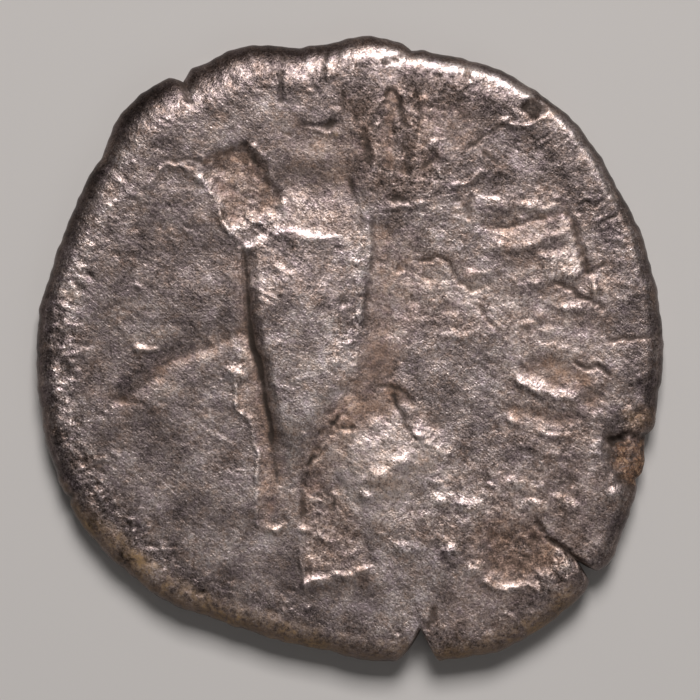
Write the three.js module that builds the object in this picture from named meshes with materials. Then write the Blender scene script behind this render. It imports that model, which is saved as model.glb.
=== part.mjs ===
// A worn struck silver coin, lying on its hidden face. Millimetres, +Z up.
// The origin is on the table, under the middle of the coin's box.
// The upper face carries a worn standing figure seen the wrong way up: a long
// draped body, a thin arm line, a bunch of lumps, and shallow strokes at the rim.
import * as THREE from 'three';

// Flan
const FLAN_RADIUS = 9.04; // mean radius of the hammered blank
const FIELD_Z = 1.36; // upper field above the table
const EDGE_Z = 0.66; // height of the widest line round the edge
const SHOULDER = 0.55; // width of the rounded upper shoulder
const WIDE_SHOULDER = { at: 117, spread: 35, more: 0.8 }; // far wider at the upper left, in degrees and mm
const FOOT = 0.5; // width of the rounded lower shoulder

// Swellings and flats of the outline: degrees, spread in degrees, rise in mm
const LOBES = [
  { at: 50, spread: 14, rise: 0.19 },
  { at: 75, spread: 6, rise: -0.12 },
  { at: 97, spread: 6, rise: -0.2 },
  { at: 113.5, spread: 8, rise: 0.24 },
  { at: 130, spread: 9.5, rise: 0.46 },
  { at: 160, spread: 13, rise: -0.14 },
  { at: 209, spread: 14, rise: 0.16 },
  { at: 254, spread: 17.5, rise: -0.44 },
  { at: 308.5, spread: 23, rise: 0.72 },
];

// Breaks in the outline: degrees, reach to each side in degrees, depth in mm
const NOTCHES = [
  { at: 78.3, before: 1.6, after: 1.6, depth: 0.1 }, // lap at the top
  { at: 121.8, before: 2.2, after: 1.4, depth: 0.28 }, // split at the upper left
  { at: 208, before: 1.2, after: 1.2, depth: 0.1 }, // nick at the left
  { at: 284.4, before: 5.2, after: 1.3, depth: 0.95 }, // open crack at the bottom
  { at: 317.2, before: 2.6, after: 2.6, depth: 0.22 }, // mouth of the lower right crack
  { at: 317.2, before: 0.9, after: 0.9, depth: 0.55 }, // the crack itself
  { at: 335.7, before: 1.5, after: 1.5, depth: 0.12 }, // lower end of the edge chip
  { at: 344, before: 5, after: 1.3, depth: 0.2 }, // upper end of the edge chip
];

// Draped body: a wedge that narrows towards the front edge of the coin
const BODY_RISE = 0.2;
const BODY_EDGE = 0.11; // half width of its sloping sides
const BODY_FADE = 0.5; // half width of its right side, which fades into the field
const BODY_TOP = 3.15;
const BODY_BOTTOM = -5.1;
const BODY_LEFT = { foot: -2.08, lean: 0.162, from: -3.2 }; // straight, leaning left
const BODY_RIGHT = { foot: -1.27, spread: 1.85, from: -3.9, over: 5 }; // swelling curve
const GROOVE_DEPTH = 0.14;
const GROOVE_WIDTH = 0.3;

// Hollows: middle, half sizes, turn in degrees, depth
const HOLLOWS = [
  { x: -3.05, y: 4.85, a: 1.35, b: 0.85, turn: -31, depth: 0.15 }, // pocket
  { x: -0.8, y: 5.25, a: 1.45, b: 1.05, turn: 0, depth: 0.07 }, // smooth recess
  { x: -0.45, y: -5.3, a: 0.75, b: 1.3, turn: 0, depth: 0.06 }, // beside the body's end
  { x: 4.95, y: -5.95, a: 1.15, b: 0.9, turn: 10, depth: 0.12 }, // lower right recess
  { x: 2.8, y: 1.6, a: 1.7, b: 1.3, turn: 0, depth: 0.04 }, // rough patch
  { x: 7.95, y: -3.15, a: 0.5, b: 0.75, turn: 0, depth: 0.16 }, // scar of the edge chip
  { x: 5.3, y: 6.95, a: 0.45, b: 0.4, turn: 0, depth: 0.14 }, // scar in the rim
];

// Lumps: middle, radius, rise
const LUMPS = [
  { x: 0.5, y: -3.0, r: 1.9, rise: 0.08 }, // swelling under the bunch
  { x: 0.8, y: -3.4, r: 0.42, rise: 0.11 },
  { x: 1.4, y: -2.93, r: 0.46, rise: 0.13 },
  { x: 0.4, y: -2.7, r: 0.46, rise: 0.11 },
  { x: 0.75, y: -2.1, r: 0.42, rise: 0.1 },
  { x: -0.25, y: -2.45, r: 0.36, rise: 0.1 },
  { x: 0.5, y: -4.2, r: 0.44, rise: 0.11 },
  { x: 3.35, y: -4.65, r: 0.5, rise: 0.11 },
  { x: 1.5, y: -5.7, r: 0.5, rise: 0.1 },
  { x: 3.6, y: -6.3, r: 0.4, rise: 0.1 },
  { x: 5.35, y: -4.55, r: 0.38, rise: 0.1 },
  { x: 6.25, y: -4.5, r: 0.38, rise: 0.1 },
  { x: -3.3, y: -0.8, r: 0.36, rise: 0.08 },
];

// Strokes: ends, half width, rise (a furrow has a negative rise)
const STROKES = [
  { x0: 4.1, y0: 3.9, x1: 6.05, y1: 4.0, w: 0.34, rise: 0.13 }, // rows at the right
  { x0: 4.3, y0: 2.8, x1: 6.2, y1: 3.0, w: 0.5, rise: 0.13 },
  { x0: 5.1, y0: 1.95, x1: 6.5, y1: 2.2, w: 0.34, rise: 0.1 },
  { x0: 5.9, y0: 1.0, x1: 6.7, y1: 1.1, w: 0.34, rise: 0.1 },
  { x0: 5.3, y0: -0.25, x1: 6.6, y1: -0.2, w: 0.34, rise: 0.11 },
  { x0: 5.0, y0: -1.15, x1: 5.8, y1: -1.6, w: 0.34, rise: 0.11 },
  { x0: 5.8, y0: -1.6, x1: 6.5, y1: -1.35, w: 0.34, rise: 0.11 },
  { x0: 4.55, y0: -2.1, x1: 6.0, y1: -2.55, w: 0.34, rise: 0.1 },
  { x0: 1.95, y0: -2.45, x1: 2.55, y1: -2.85, w: 0.34, rise: 0.11 }, // below the bunch
  { x0: 4.1, y0: -3.55, x1: 5.0, y1: -4.1, w: 0.34, rise: 0.1 },
  { x0: 4.1, y0: -6.8, x1: 4.9, y1: -6.85, w: 0.34, rise: 0.13 },
  { x0: 5.25, y0: -7.05, x1: 5.95, y1: -6.9, w: 0.34, rise: 0.11 },
  { x0: -1.25, y0: -6.75, x1: 0.5, y1: -6.35, w: 0.5, rise: 0.1 }, // ground line
  { x0: -3.1, y0: 0.42, x1: -4.9, y1: -0.25, w: 0.5, rise: -0.08 }, // arm
  { x0: -4.9, y0: -0.25, x1: -6.55, y1: -1.5, w: 0.5, rise: -0.1 },
  { x0: -5.6, y0: 4.8, x1: -4.1, y1: 5.0, w: 0.34, rise: 0.08 }, // lip of the pocket
  { x0: -4.1, y0: 5.0, x1: -3.4, y1: 3.4, w: 0.34, rise: 0.08 },
  { x0: 0.13, y0: 7.0, x1: 0.2, y1: 6.3, w: 0.34, rise: -0.1 }, // furrows at the top
  { x0: 0.5, y0: 6.3, x1: 0.55, y1: 5.3, w: 0.34, rise: -0.1 },
  { x0: 1.9, y0: 6.9, x1: 1.7, y1: 5.4, w: 0.34, rise: -0.1 },
  { x0: 1.2, y0: -1.1, x1: 2.45, y1: -2.2, w: 0.34, rise: -0.1 }, // channel by the bunch
  { x0: 6.3, y0: -5.85, x1: 5.45, y1: -4.95, w: 0.34, rise: -0.15 }, // lower right crack
];

// Hidden face: its device worn down to a plain flat boss at table height, inside a worn rim
const HIDDEN_DEPTH = 0.14; // its field above the table
const BOSS_EDGE = 0.3; // share of the boss's half sizes taken by its sloping edge
const BOSS = [
  { x: 0.2, y: 0.3, a: 3.3, b: 3.9 },
  { x: -1.0, y: -0.9, a: 2.7, b: 2.6 },
  { x: 1.2, y: 1.3, a: 2.6, b: 2.9 },
];
const HIDDEN_RIM = 0.9; // width of the flat worn rim

// Mesh
const UPPER_RINGS = 34;
const HIDDEN_RINGS = 11;
const EDGE_STEPS = 3; // steps of the shoulder, above and below the widest line
const EDGE_POINTS = 150;
const NOTCH_FROM = 0.75; // share of the way to the shoulder where the notches begin to tell

const rad = THREE.MathUtils.degToRad;
const ease = THREE.MathUtils.smoothstep;

function turnTo(from, to) {
  return THREE.MathUtils.euclideanModulo(to - from + 180, 360) - 180;
}

// Fades from one in the middle to nothing at t = 1
function bell(t) {
  return t < 1 ? (1 - t * t) ** 2 : 0;
}

function smoothRadius(deg) {
  let r = FLAN_RADIUS;
  for (const lobe of LOBES) {
    r += lobe.rise * Math.exp(-(Math.abs(turnTo(lobe.at, deg) / lobe.spread) ** 3));
  }
  return r;
}

function notchDepth(deg) {
  let depth = 0;
  for (const notch of NOTCHES) {
    const off = turnTo(notch.at, deg);
    const reach = off < 0 ? notch.before : notch.after;
    depth += notch.depth * Math.max(0, 1 - Math.abs(off) / reach);
  }
  return depth;
}

function shoulderWidth(deg) {
  const off = turnTo(WIDE_SHOULDER.at, deg) / WIDE_SHOULDER.spread;
  const width = SHOULDER + WIDE_SHOULDER.more * Math.exp(-off * off);
  return width * Math.max(0.4, 1 - notchDepth(deg));
}

function segmentDistance(x, y, s) {
  const dx = s.x1 - s.x0;
  const dy = s.y1 - s.y0;
  const along = ((x - s.x0) * dx + (y - s.y0) * dy) / (dx * dx + dy * dy);
  const t = THREE.MathUtils.clamp(along, 0, 1);
  return Math.hypot(x - s.x0 - t * dx, y - s.y0 - t * dy);
}

function bodyLeft(y) {
  return BODY_LEFT.foot - BODY_LEFT.lean * Math.max(0, y - BODY_LEFT.from);
}

function bodyRight(y) {
  const t = ease(y, BODY_RIGHT.from, BODY_RIGHT.from + BODY_RIGHT.over);
  return BODY_RIGHT.foot + BODY_RIGHT.spread * t;
}

function bodyHeight(x, y) {
  const inside = Math.min(x - bodyLeft(y), BODY_TOP - y, y - BODY_BOTTOM);
  const share = ease(inside, -BODY_EDGE, BODY_EDGE) * ease(bodyRight(y) + 0.2 - x, -BODY_FADE, BODY_FADE);
  const groove = bell(Math.abs(x - bodyLeft(y) + 0.1) / GROOVE_WIDTH);
  const reach = ease(y, -3.0, -2.2) * (1 - ease(y, 2.4, 3.1));
  return BODY_RISE * share - GROOVE_DEPTH * groove * reach;
}

function hollowDepth(x, y, h) {
  const c = Math.cos(rad(h.turn));
  const s = Math.sin(rad(h.turn));
  const u = ((x - h.x) * c + (y - h.y) * s) / h.a;
  const v = ((y - h.y) * c - (x - h.x) * s) / h.b;
  return h.depth * ease(1 - Math.hypot(u, v), 0, 0.45);
}

function upperZ(x, y) {
  let z = FIELD_Z + bodyHeight(x, y);
  for (const h of HOLLOWS) z -= hollowDepth(x, y, h);
  for (const l of LUMPS) z += l.rise * bell(Math.hypot(x - l.x, y - l.y) / l.r);
  for (const s of STROKES) z += s.rise * bell(segmentDistance(x, y, s) / s.w);
  return z;
}

function hiddenZ(x, y, rimStart) {
  let boss = 0;
  for (const e of BOSS) {
    boss = Math.max(boss, ease(1 - Math.hypot((x - e.x) / e.a, (y - e.y) / e.b), 0, BOSS_EDGE));
  }
  const rim = ease(Math.hypot(x, y), rimStart - HIDDEN_RIM - 0.6, rimStart - HIDDEN_RIM);
  return HIDDEN_DEPTH * (1 - Math.max(boss, rim));
}

// Degrees of an even ring
function evenAngles(count) {
  return Array.from({ length: Math.max(1, count) }, (_, i) => (360 * i) / Math.max(1, count));
}

// Degrees of a face's ring: even, and further out with the point nearest to each notch moved to its tip
function faceAngles(count, share) {
  const angles = evenAngles(count);
  if (share <= NOTCH_FROM) return angles;
  for (const n of NOTCHES) angles[Math.round((n.at * count) / 360) % count] = n.at;
  return angles;
}

// Degrees round the edge: an even ring with the corners of every notch put in
function edgeAngles() {
  const corners = [];
  for (const n of NOTCHES) {
    corners.push(n.at - n.before, n.at - n.before / 2, n.at, n.at + n.after / 2, n.at + n.after);
  }
  const near = (a) => corners.some((c) => Math.abs(turnTo(c, a)) < 0.8);
  const even = evenAngles(EDGE_POINTS).filter((a) => !near(a));
  return [...new Set([...even, ...corners])].sort((a, b) => a - b);
}

// Point of a face: the share of the way from the middle to the start of the shoulder
function facePoint(share, deg, width, height) {
  const notch = notchDepth(deg) * ease(share, NOTCH_FROM, 1);
  const r = share * (smoothRadius(deg) - width) - notch;
  const x = r * Math.cos(rad(deg));
  const y = r * Math.sin(rad(deg));
  return new THREE.Vector3(x, y, height(x, y));
}

// Point of a rounded shoulder: tilt runs from 0 on the face to 90 on the widest line
function shoulderPoint(tilt, deg, width, height) {
  const edge = smoothRadius(deg) - notchDepth(deg);
  const inner = facePoint(1, deg, width, height);
  const r = edge - width * (1 - Math.sin(rad(tilt)));
  const z = EDGE_Z + (inner.z - EDGE_Z) * Math.cos(rad(tilt));
  return new THREE.Vector3(r * Math.cos(rad(deg)), r * Math.sin(rad(deg)), z);
}

function coinRings() {
  const edge = edgeAngles();
  const rings = [];
  for (let k = 0; k <= UPPER_RINGS; k++) {
    const share = k / UPPER_RINGS;
    const angles = k < UPPER_RINGS ? faceAngles(6 * k, share) : edge;
    const place = (deg) => facePoint(share, deg, shoulderWidth(deg), upperZ);
    rings.push({ angles, points: angles.map(place) });
  }
  for (let k = 1; k <= EDGE_STEPS; k++) {
    const place = (deg) => shoulderPoint((90 * k) / EDGE_STEPS, deg, shoulderWidth(deg), upperZ);
    rings.push({ angles: edge, points: edge.map(place) });
  }
  const foot = (deg) => FOOT * Math.max(0.4, 1 - notchDepth(deg));
  const below = (deg) => (x, y) => hiddenZ(x, y, smoothRadius(deg) - FOOT);
  for (let k = EDGE_STEPS - 1; k > 0; k--) {
    const place = (deg) => shoulderPoint((90 * k) / EDGE_STEPS, deg, foot(deg), below(deg));
    rings.push({ angles: edge, points: edge.map(place) });
  }
  for (let k = HIDDEN_RINGS; k >= 0; k--) {
    const share = k / HIDDEN_RINGS;
    const angles = k < HIDDEN_RINGS ? faceAngles(6 * k, share) : edge;
    const place = (deg) => facePoint(share, deg, foot(deg), below(deg));
    rings.push({ angles, points: angles.map(place) });
  }
  return rings;
}

// Closes the strip between two rings, always stepping along the one that lags behind
function zipRings(a, b, index) {
  const na = a.angles.length;
  const nb = b.angles.length;
  const degA = (i) => a.angles[i % na] + 360 * Math.floor(i / na);
  const degB = (j) => b.angles[j % nb] + 360 * Math.floor(j / nb);
  let i = 0;
  let j = 0;
  while (i < na || j < nb) {
    const stepB = j < nb && (i >= na || na === 1 || degB(j + 1) <= degA(i + 1));
    if (stepB) {
      if (nb > 1) index.push(a.start + (i % na), b.start + (j % nb), b.start + ((j + 1) % nb));
      j += 1;
    } else {
      if (na > 1) index.push(a.start + (i % na), b.start + (j % nb), a.start + ((i + 1) % na));
      i += 1;
    }
  }
}

function coinGeometry() {
  const rings = coinRings();
  const points = [];
  for (const ring of rings) {
    ring.start = points.length;
    points.push(...ring.points);
  }
  const index = [];
  for (let k = 0; k + 1 < rings.length; k++) zipRings(rings[k], rings[k + 1], index);
  const geometry = new THREE.BufferGeometry().setFromPoints(points);
  geometry.setIndex(index);
  geometry.computeBoundingBox();
  const middle = geometry.boundingBox.getCenter(new THREE.Vector3());
  geometry.translate(-middle.x, -middle.y, -geometry.boundingBox.min.z);
  geometry.computeVertexNormals();
  return geometry;
}

const silver = new THREE.MeshStandardMaterial({ color: 0x8a807b, metalness: 0.9, roughness: 0.45 });

const coin = new THREE.Mesh(coinGeometry(), silver);
coin.name = 'coin';

const group = new THREE.Group();
group.name = 'denarius';
group.add(coin);

export default group;
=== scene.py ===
"""A worn silver coin seen straight from above: fine struck relief and toned, dirty metal."""
import math

import bpy
import numpy as np
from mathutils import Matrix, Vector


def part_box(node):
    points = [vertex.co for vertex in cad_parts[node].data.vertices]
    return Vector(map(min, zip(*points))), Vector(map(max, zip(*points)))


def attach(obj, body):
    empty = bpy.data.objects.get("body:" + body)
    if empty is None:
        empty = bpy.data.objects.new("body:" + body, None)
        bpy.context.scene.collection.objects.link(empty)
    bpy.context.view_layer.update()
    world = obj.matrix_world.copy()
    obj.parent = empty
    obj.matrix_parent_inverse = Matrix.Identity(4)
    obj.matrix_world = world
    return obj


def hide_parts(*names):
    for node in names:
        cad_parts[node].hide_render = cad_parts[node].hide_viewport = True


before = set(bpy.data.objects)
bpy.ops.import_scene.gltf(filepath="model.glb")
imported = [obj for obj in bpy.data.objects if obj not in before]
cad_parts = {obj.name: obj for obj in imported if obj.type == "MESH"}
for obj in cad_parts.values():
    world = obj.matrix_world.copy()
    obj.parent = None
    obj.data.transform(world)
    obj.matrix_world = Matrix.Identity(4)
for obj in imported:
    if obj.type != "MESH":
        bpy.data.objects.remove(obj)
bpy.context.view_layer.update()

MM = 0.001  # relief sizes are in millimetres, Blender works in metres

# Flan, close to the solid's values
FLAN_RADIUS = 9.04
FIELD_Z = 1.36
EDGE_Z = 0.66
SHOULDER = 0.55
WIDE_SHOULDER = (117, 28, 0.8)  # degrees, spread, added width
NARROW_SHOULDER = (48, 36, -0.12)
FOOT = 0.5
LOBES = [  # degrees, spread, rise
    (50, 14, 0.19), (75, 6, -0.12), (97, 6, -0.2), (113.5, 8, 0.24), (130, 9.5, 0.46),
    (160, 13, -0.14), (209, 14, 0.16), (254, 17.5, -0.44), (308.5, 23, 0.72),
]
NOTCHES = [  # degrees, reach before and after, depth
    (78.3, 1.6, 1.6, 0.1), (121.8, 2.2, 1.4, 0.28), (208, 1.2, 1.2, 0.1), (284.4, 5.2, 1.3, 0.95),
    (317.2, 2.6, 2.6, 0.22), (317.2, 0.9, 0.9, 0.55), (335.7, 1.5, 1.5, 0.12), (344, 5, 1.3, 0.2),
]
HIDDEN_DEPTH = 0.14
HIDDEN_RIM = 0.9

# Mesh of the coin
UPPER_RINGS = 152
HIDDEN_RINGS = 48
UPPER_STEP = 6  # points that each ring has more than the one inside it
HIDDEN_STEP = 8
EDGE_POINTS = UPPER_STEP * UPPER_RINGS
FINE_RING = 200
FINER_RING = 680
BESIDE_TIP = 0.4  # degrees
UPPER_EDGE_STEPS = 9
LOWER_EDGE_STEPS = 6
UPPER_POINTS = 1 + UPPER_STEP * UPPER_RINGS * (UPPER_RINGS + 1) // 2 + UPPER_EDGE_STEPS * EDGE_POINTS
NOTCH_FROM = 0.75  # shares of the way to the edge where notches and unevenness begin
WANDER_FROM = 0.8
NOTCHED_LEAST = 0.4  # least share of the shoulder and the foot that a notch leaves
RIM_WAVES = (17, 29, 43, 67, 101, 149)
RIM_WANDER = 0.4

# Relief grid
GRID_STEP = 0.04
GRID_HALF = 10.2
axis = np.arange(-GRID_HALF, GRID_HALF + GRID_STEP / 2, GRID_STEP)
X, Y = np.meshgrid(axis, axis)
NOISE_CELLS = 256  # a noise repeats after so many cells
NOISE_SHIFT = (97.3, 61.7)


def ease(v, low, high):
    t = np.clip((v - low) / (high - low), 0, 1)
    return t * t * (3 - 2 * t)


def bell(t):
    return np.where(t < 1, (1 - t * t) ** 2, 0)


def noise(cell, seed, stretch=1.0, turn=0.0):
    """Smooth noise between -1 and 1 on the grid, drawn out along the turned direction."""
    table = np.random.RandomState(seed).uniform(-1, 1, (NOISE_CELLS, NOISE_CELLS))
    c, s = math.cos(math.radians(turn)), math.sin(math.radians(turn))
    u = (X * c + Y * s) / (cell * stretch) + NOISE_SHIFT[0]
    v = (Y * c - X * s) / cell + NOISE_SHIFT[1]
    iu, iv = np.floor(u).astype(int), np.floor(v).astype(int)
    fu, fv = u - iu, v - iv
    fu, fv = fu * fu * (3 - 2 * fu), fv * fv * (3 - 2 * fv)

    def pick(i, j):
        return table[j % NOISE_CELLS, i % NOISE_CELLS]

    low = pick(iu, iv) * (1 - fu) + pick(iu + 1, iv) * fu
    high = pick(iu, iv + 1) * (1 - fu) + pick(iu + 1, iv + 1) * fu
    return low * (1 - fv) + high * fv


def blur(a, radius):
    """Three box blurs, close to a soft round brush."""
    n = max(1, int(round(radius / GRID_STEP / 1.7)))
    for _ in range(3):
        for ax in (0, 1):
            pad = [(0, 0), (0, 0)]
            pad[ax] = (n + 1, n)
            total = np.cumsum(np.pad(a, pad, mode="edge"), axis=ax)
            far = np.take(total, range(2 * n + 1, total.shape[ax]), axis=ax)
            near = np.take(total, range(0, total.shape[ax] - 2 * n - 1), axis=ax)
            a = (far - near) / (2 * n + 1)
    return a


def turn_to(start, deg):
    return (deg - start + 180) % 360 - 180


def smooth_radius(deg):
    r = np.full_like(deg, FLAN_RADIUS, dtype=float)
    for at, spread, rise in LOBES:
        r += rise * np.exp(-np.abs(turn_to(at, deg) / spread) ** 3)
    return r


def notch_depth(deg):
    depth = np.zeros_like(deg, dtype=float)
    for at, before, after, deep in NOTCHES:
        off = turn_to(at, deg)
        reach = np.where(off < 0, before, after)
        depth += deep * np.maximum(0, 1 - 0.8 * np.abs(off) / reach) ** 1.4
    return depth


def shoulder_width(deg):
    width = np.full_like(deg, SHOULDER, dtype=float)
    for at, spread, more in (WIDE_SHOULDER, NARROW_SHOULDER):
        width += more * np.exp(-(turn_to(at, deg) / spread) ** 2)
    return width * np.maximum(NOTCHED_LEAST, 1 - notch_depth(deg))


def foot_width(deg):
    return FOOT * np.maximum(NOTCHED_LEAST, 1 - notch_depth(deg))


DEG = np.degrees(np.arctan2(Y, X))
EDGE_GAP = smooth_radius(DEG) - notch_depth(DEG) - np.hypot(X, Y)

# Worn edges are never straight, so every form is drawn on slightly wandering coordinates
SX, SY = X + 0.05 * noise(0.8, 1), Y + 0.05 * noise(0.8, 3)
WX = SX + 0.05 * noise(0.27, 2, turn=31) + 0.028 * noise(0.12, 7, turn=12)
WY = SY + 0.05 * noise(0.27, 4, turn=31) + 0.028 * noise(0.12, 8, turn=12)
UNEVEN = np.clip(0.8 + 0.45 * noise(0.4, 5, turn=20) + 0.4 * noise(0.16, 6, turn=50), 0.1, 1.4)

# What the forms add to: height in millimetres, and shares of soil, tone and fine roughness; the grime share
# is dark dirt and painted shade in cracks, grooves and under walls
SOILS = ("dirt", "grime", "ochre", "rust")
PAINTED = SOILS + ("tone", "rough")
LAYERS = {name: np.zeros_like(X) for name in ("relief",) + PAINTED}


def put(win, share, **adds):
    """Adds a share of each named amount to its layer."""
    for name, amount in adds.items():
        LAYERS[name][win] += amount * share


def window(points, reach):
    low = np.min(points, axis=0) - reach - 0.15
    high = np.max(points, axis=0) + reach + 0.15
    (c0, r0), (c1, r1) = np.searchsorted(axis, low), np.searchsorted(axis, high)
    return slice(r0, r1), slice(c0, c1)


def path_field(path, reach):
    """Window of the grid near a path, the distance to it and the side (+1 is its left)."""
    pts = np.array(path, float)
    win = window(pts, reach)
    x, y = WX[win], WY[win]
    best, side = np.full(x.shape, 1e9), np.zeros(x.shape)
    for (x0, y0), (x1, y1) in zip(pts[:-1], pts[1:]):
        dx, dy = x1 - x0, y1 - y0
        t = np.clip(((x - x0) * dx + (y - y0) * dy) / (dx * dx + dy * dy), 0, 1)
        ex, ey = x - x0 - t * dx, y - y0 - t * dy
        d = np.hypot(ex, ey)
        side = np.where(d < best, np.sign(dx * ey - dy * ex), side)
        best = np.minimum(best, d)
    return win, best, side


def patchy(win, size):
    """Breaks up small forms; broad ones stay whole."""
    whole = ease(size, 0.4, 0.9)
    return (1 - whole) * UNEVEN[win] + 0.8 * whole


def stroke(path, width, **adds):
    """A soft ridge, furrow or stain along a path."""
    win, d, _ = path_field(path, width)
    put(win, bell(d / width) * patchy(win, width), **adds)


def lip(path, left, right, **adds):
    """A crest with sides of two widths; drawn from left to right its left side faces the top."""
    win, d, side = path_field(path, max(left, right))
    t = d / np.where(side > 0, left, right)
    put(win, np.maximum(0, 1 - t) ** 2 * patchy(win, max(left, right)), **adds)


def crack(path, width, depth, grime=1.4):
    """A thin dark line that hardly breaks off: a shallow furrow darkened with grime and painted shade."""
    win, d, _ = path_field(path, width)
    put(win, bell(d / width) * (0.6 + 0.4 * UNEVEN[win]), relief=-depth, grime=grime)


def oval(x, y, a, b, turn):
    win = window([(x, y)], max(a, b))
    c, s = math.cos(math.radians(turn)), math.sin(math.radians(turn))
    dx, dy = WX[win] - x, WY[win] - y
    return win, np.hypot((dx * c + dy * s) / a, (dy * c - dx * s) / b)


def spot(x, y, a, b=None, turn=0, **adds):
    """A rounded lump, dent or stain."""
    b = b or a
    win, t = oval(x, y, a, b, turn)
    put(win, bell(t) * patchy(win, max(a, b)), **adds)


def inside(poly, x, y):
    within = np.zeros(np.shape(x), bool)
    for (x0, y0), (x1, y1) in zip(poly, list(poly[1:]) + [poly[0]]):
        if y0 != y1:
            cross = (y0 > y) != (y1 > y)
            within ^= cross & (x < x0 + (y - y0) * (x1 - x0) / (y1 - y0))
    return within


def area(poly, soft, **adds):
    """Raises, stains or roughens all inside an outline, fading over its soft edge."""
    win, d, _ = path_field(list(poly) + [poly[0]], soft)
    within = inside(poly, WX[win], WY[win])
    put(win, ease(np.where(within, d, -d), -soft / 2, soft / 2), **adds)


def crumble(poly, count, seed, size, **adds):
    """Scatters small uneven lumps and pits inside an outline."""
    draw = np.random.RandomState(seed)
    low, high = np.min(poly, axis=0), np.max(poly, axis=0)
    for _ in range(count):
        x, y = draw.uniform(low, high)
        a, turn, share = size * draw.uniform(0.5, 1.5), draw.uniform(0, 180), draw.uniform(-1, 1)
        b = a * draw.uniform(0.35, 0.8)
        if inside(poly, x, y):
            spot(x, y, a, b, turn, **{name: amount * share for name, amount in adds.items()})


# Sides of the draped body as x over falling y, and its top edge as y over x
BODY_LEFT = [(3.05, -3.1), (1.9, -2.97), (1.1, -2.88), (0.4, -2.8), (-0.25, -2.63), (-1.35, -2.45),
             (-2.4, -2.22), (-3.4, -2.05), (-4.95, -2.1)]
BODY_RIGHT = [(3.7, 0.67), (2.35, 0.62), (1.7, 0.52), (0.8, 0.5), (-0.2, 0.35), (-1.1, 0.0), (-1.6, -0.4),
              (-2.05, -0.65), (-3.1, -1.1), (-3.65, -1.29), (-5.0, -1.34)]
BODY_TOP = [(-3.1, 2.95), (-2.45, 3.14), (-1.95, 3.44), (-1.15, 3.3), (-0.6, 3.22), (0.75, 3.1)]
GROOVE_WIDTH = [(3.1, 0.03), (2.1, 0.045), (1.4, 0.065), (0.7, 0.1), (-0.8, 0.11), (-1.7, 0.08), (-2.6, 0.05)]


def over(y, table):
    rows = sorted(table)
    return np.interp(y, [r[0] for r in rows], [r[1] for r in rows])


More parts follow.
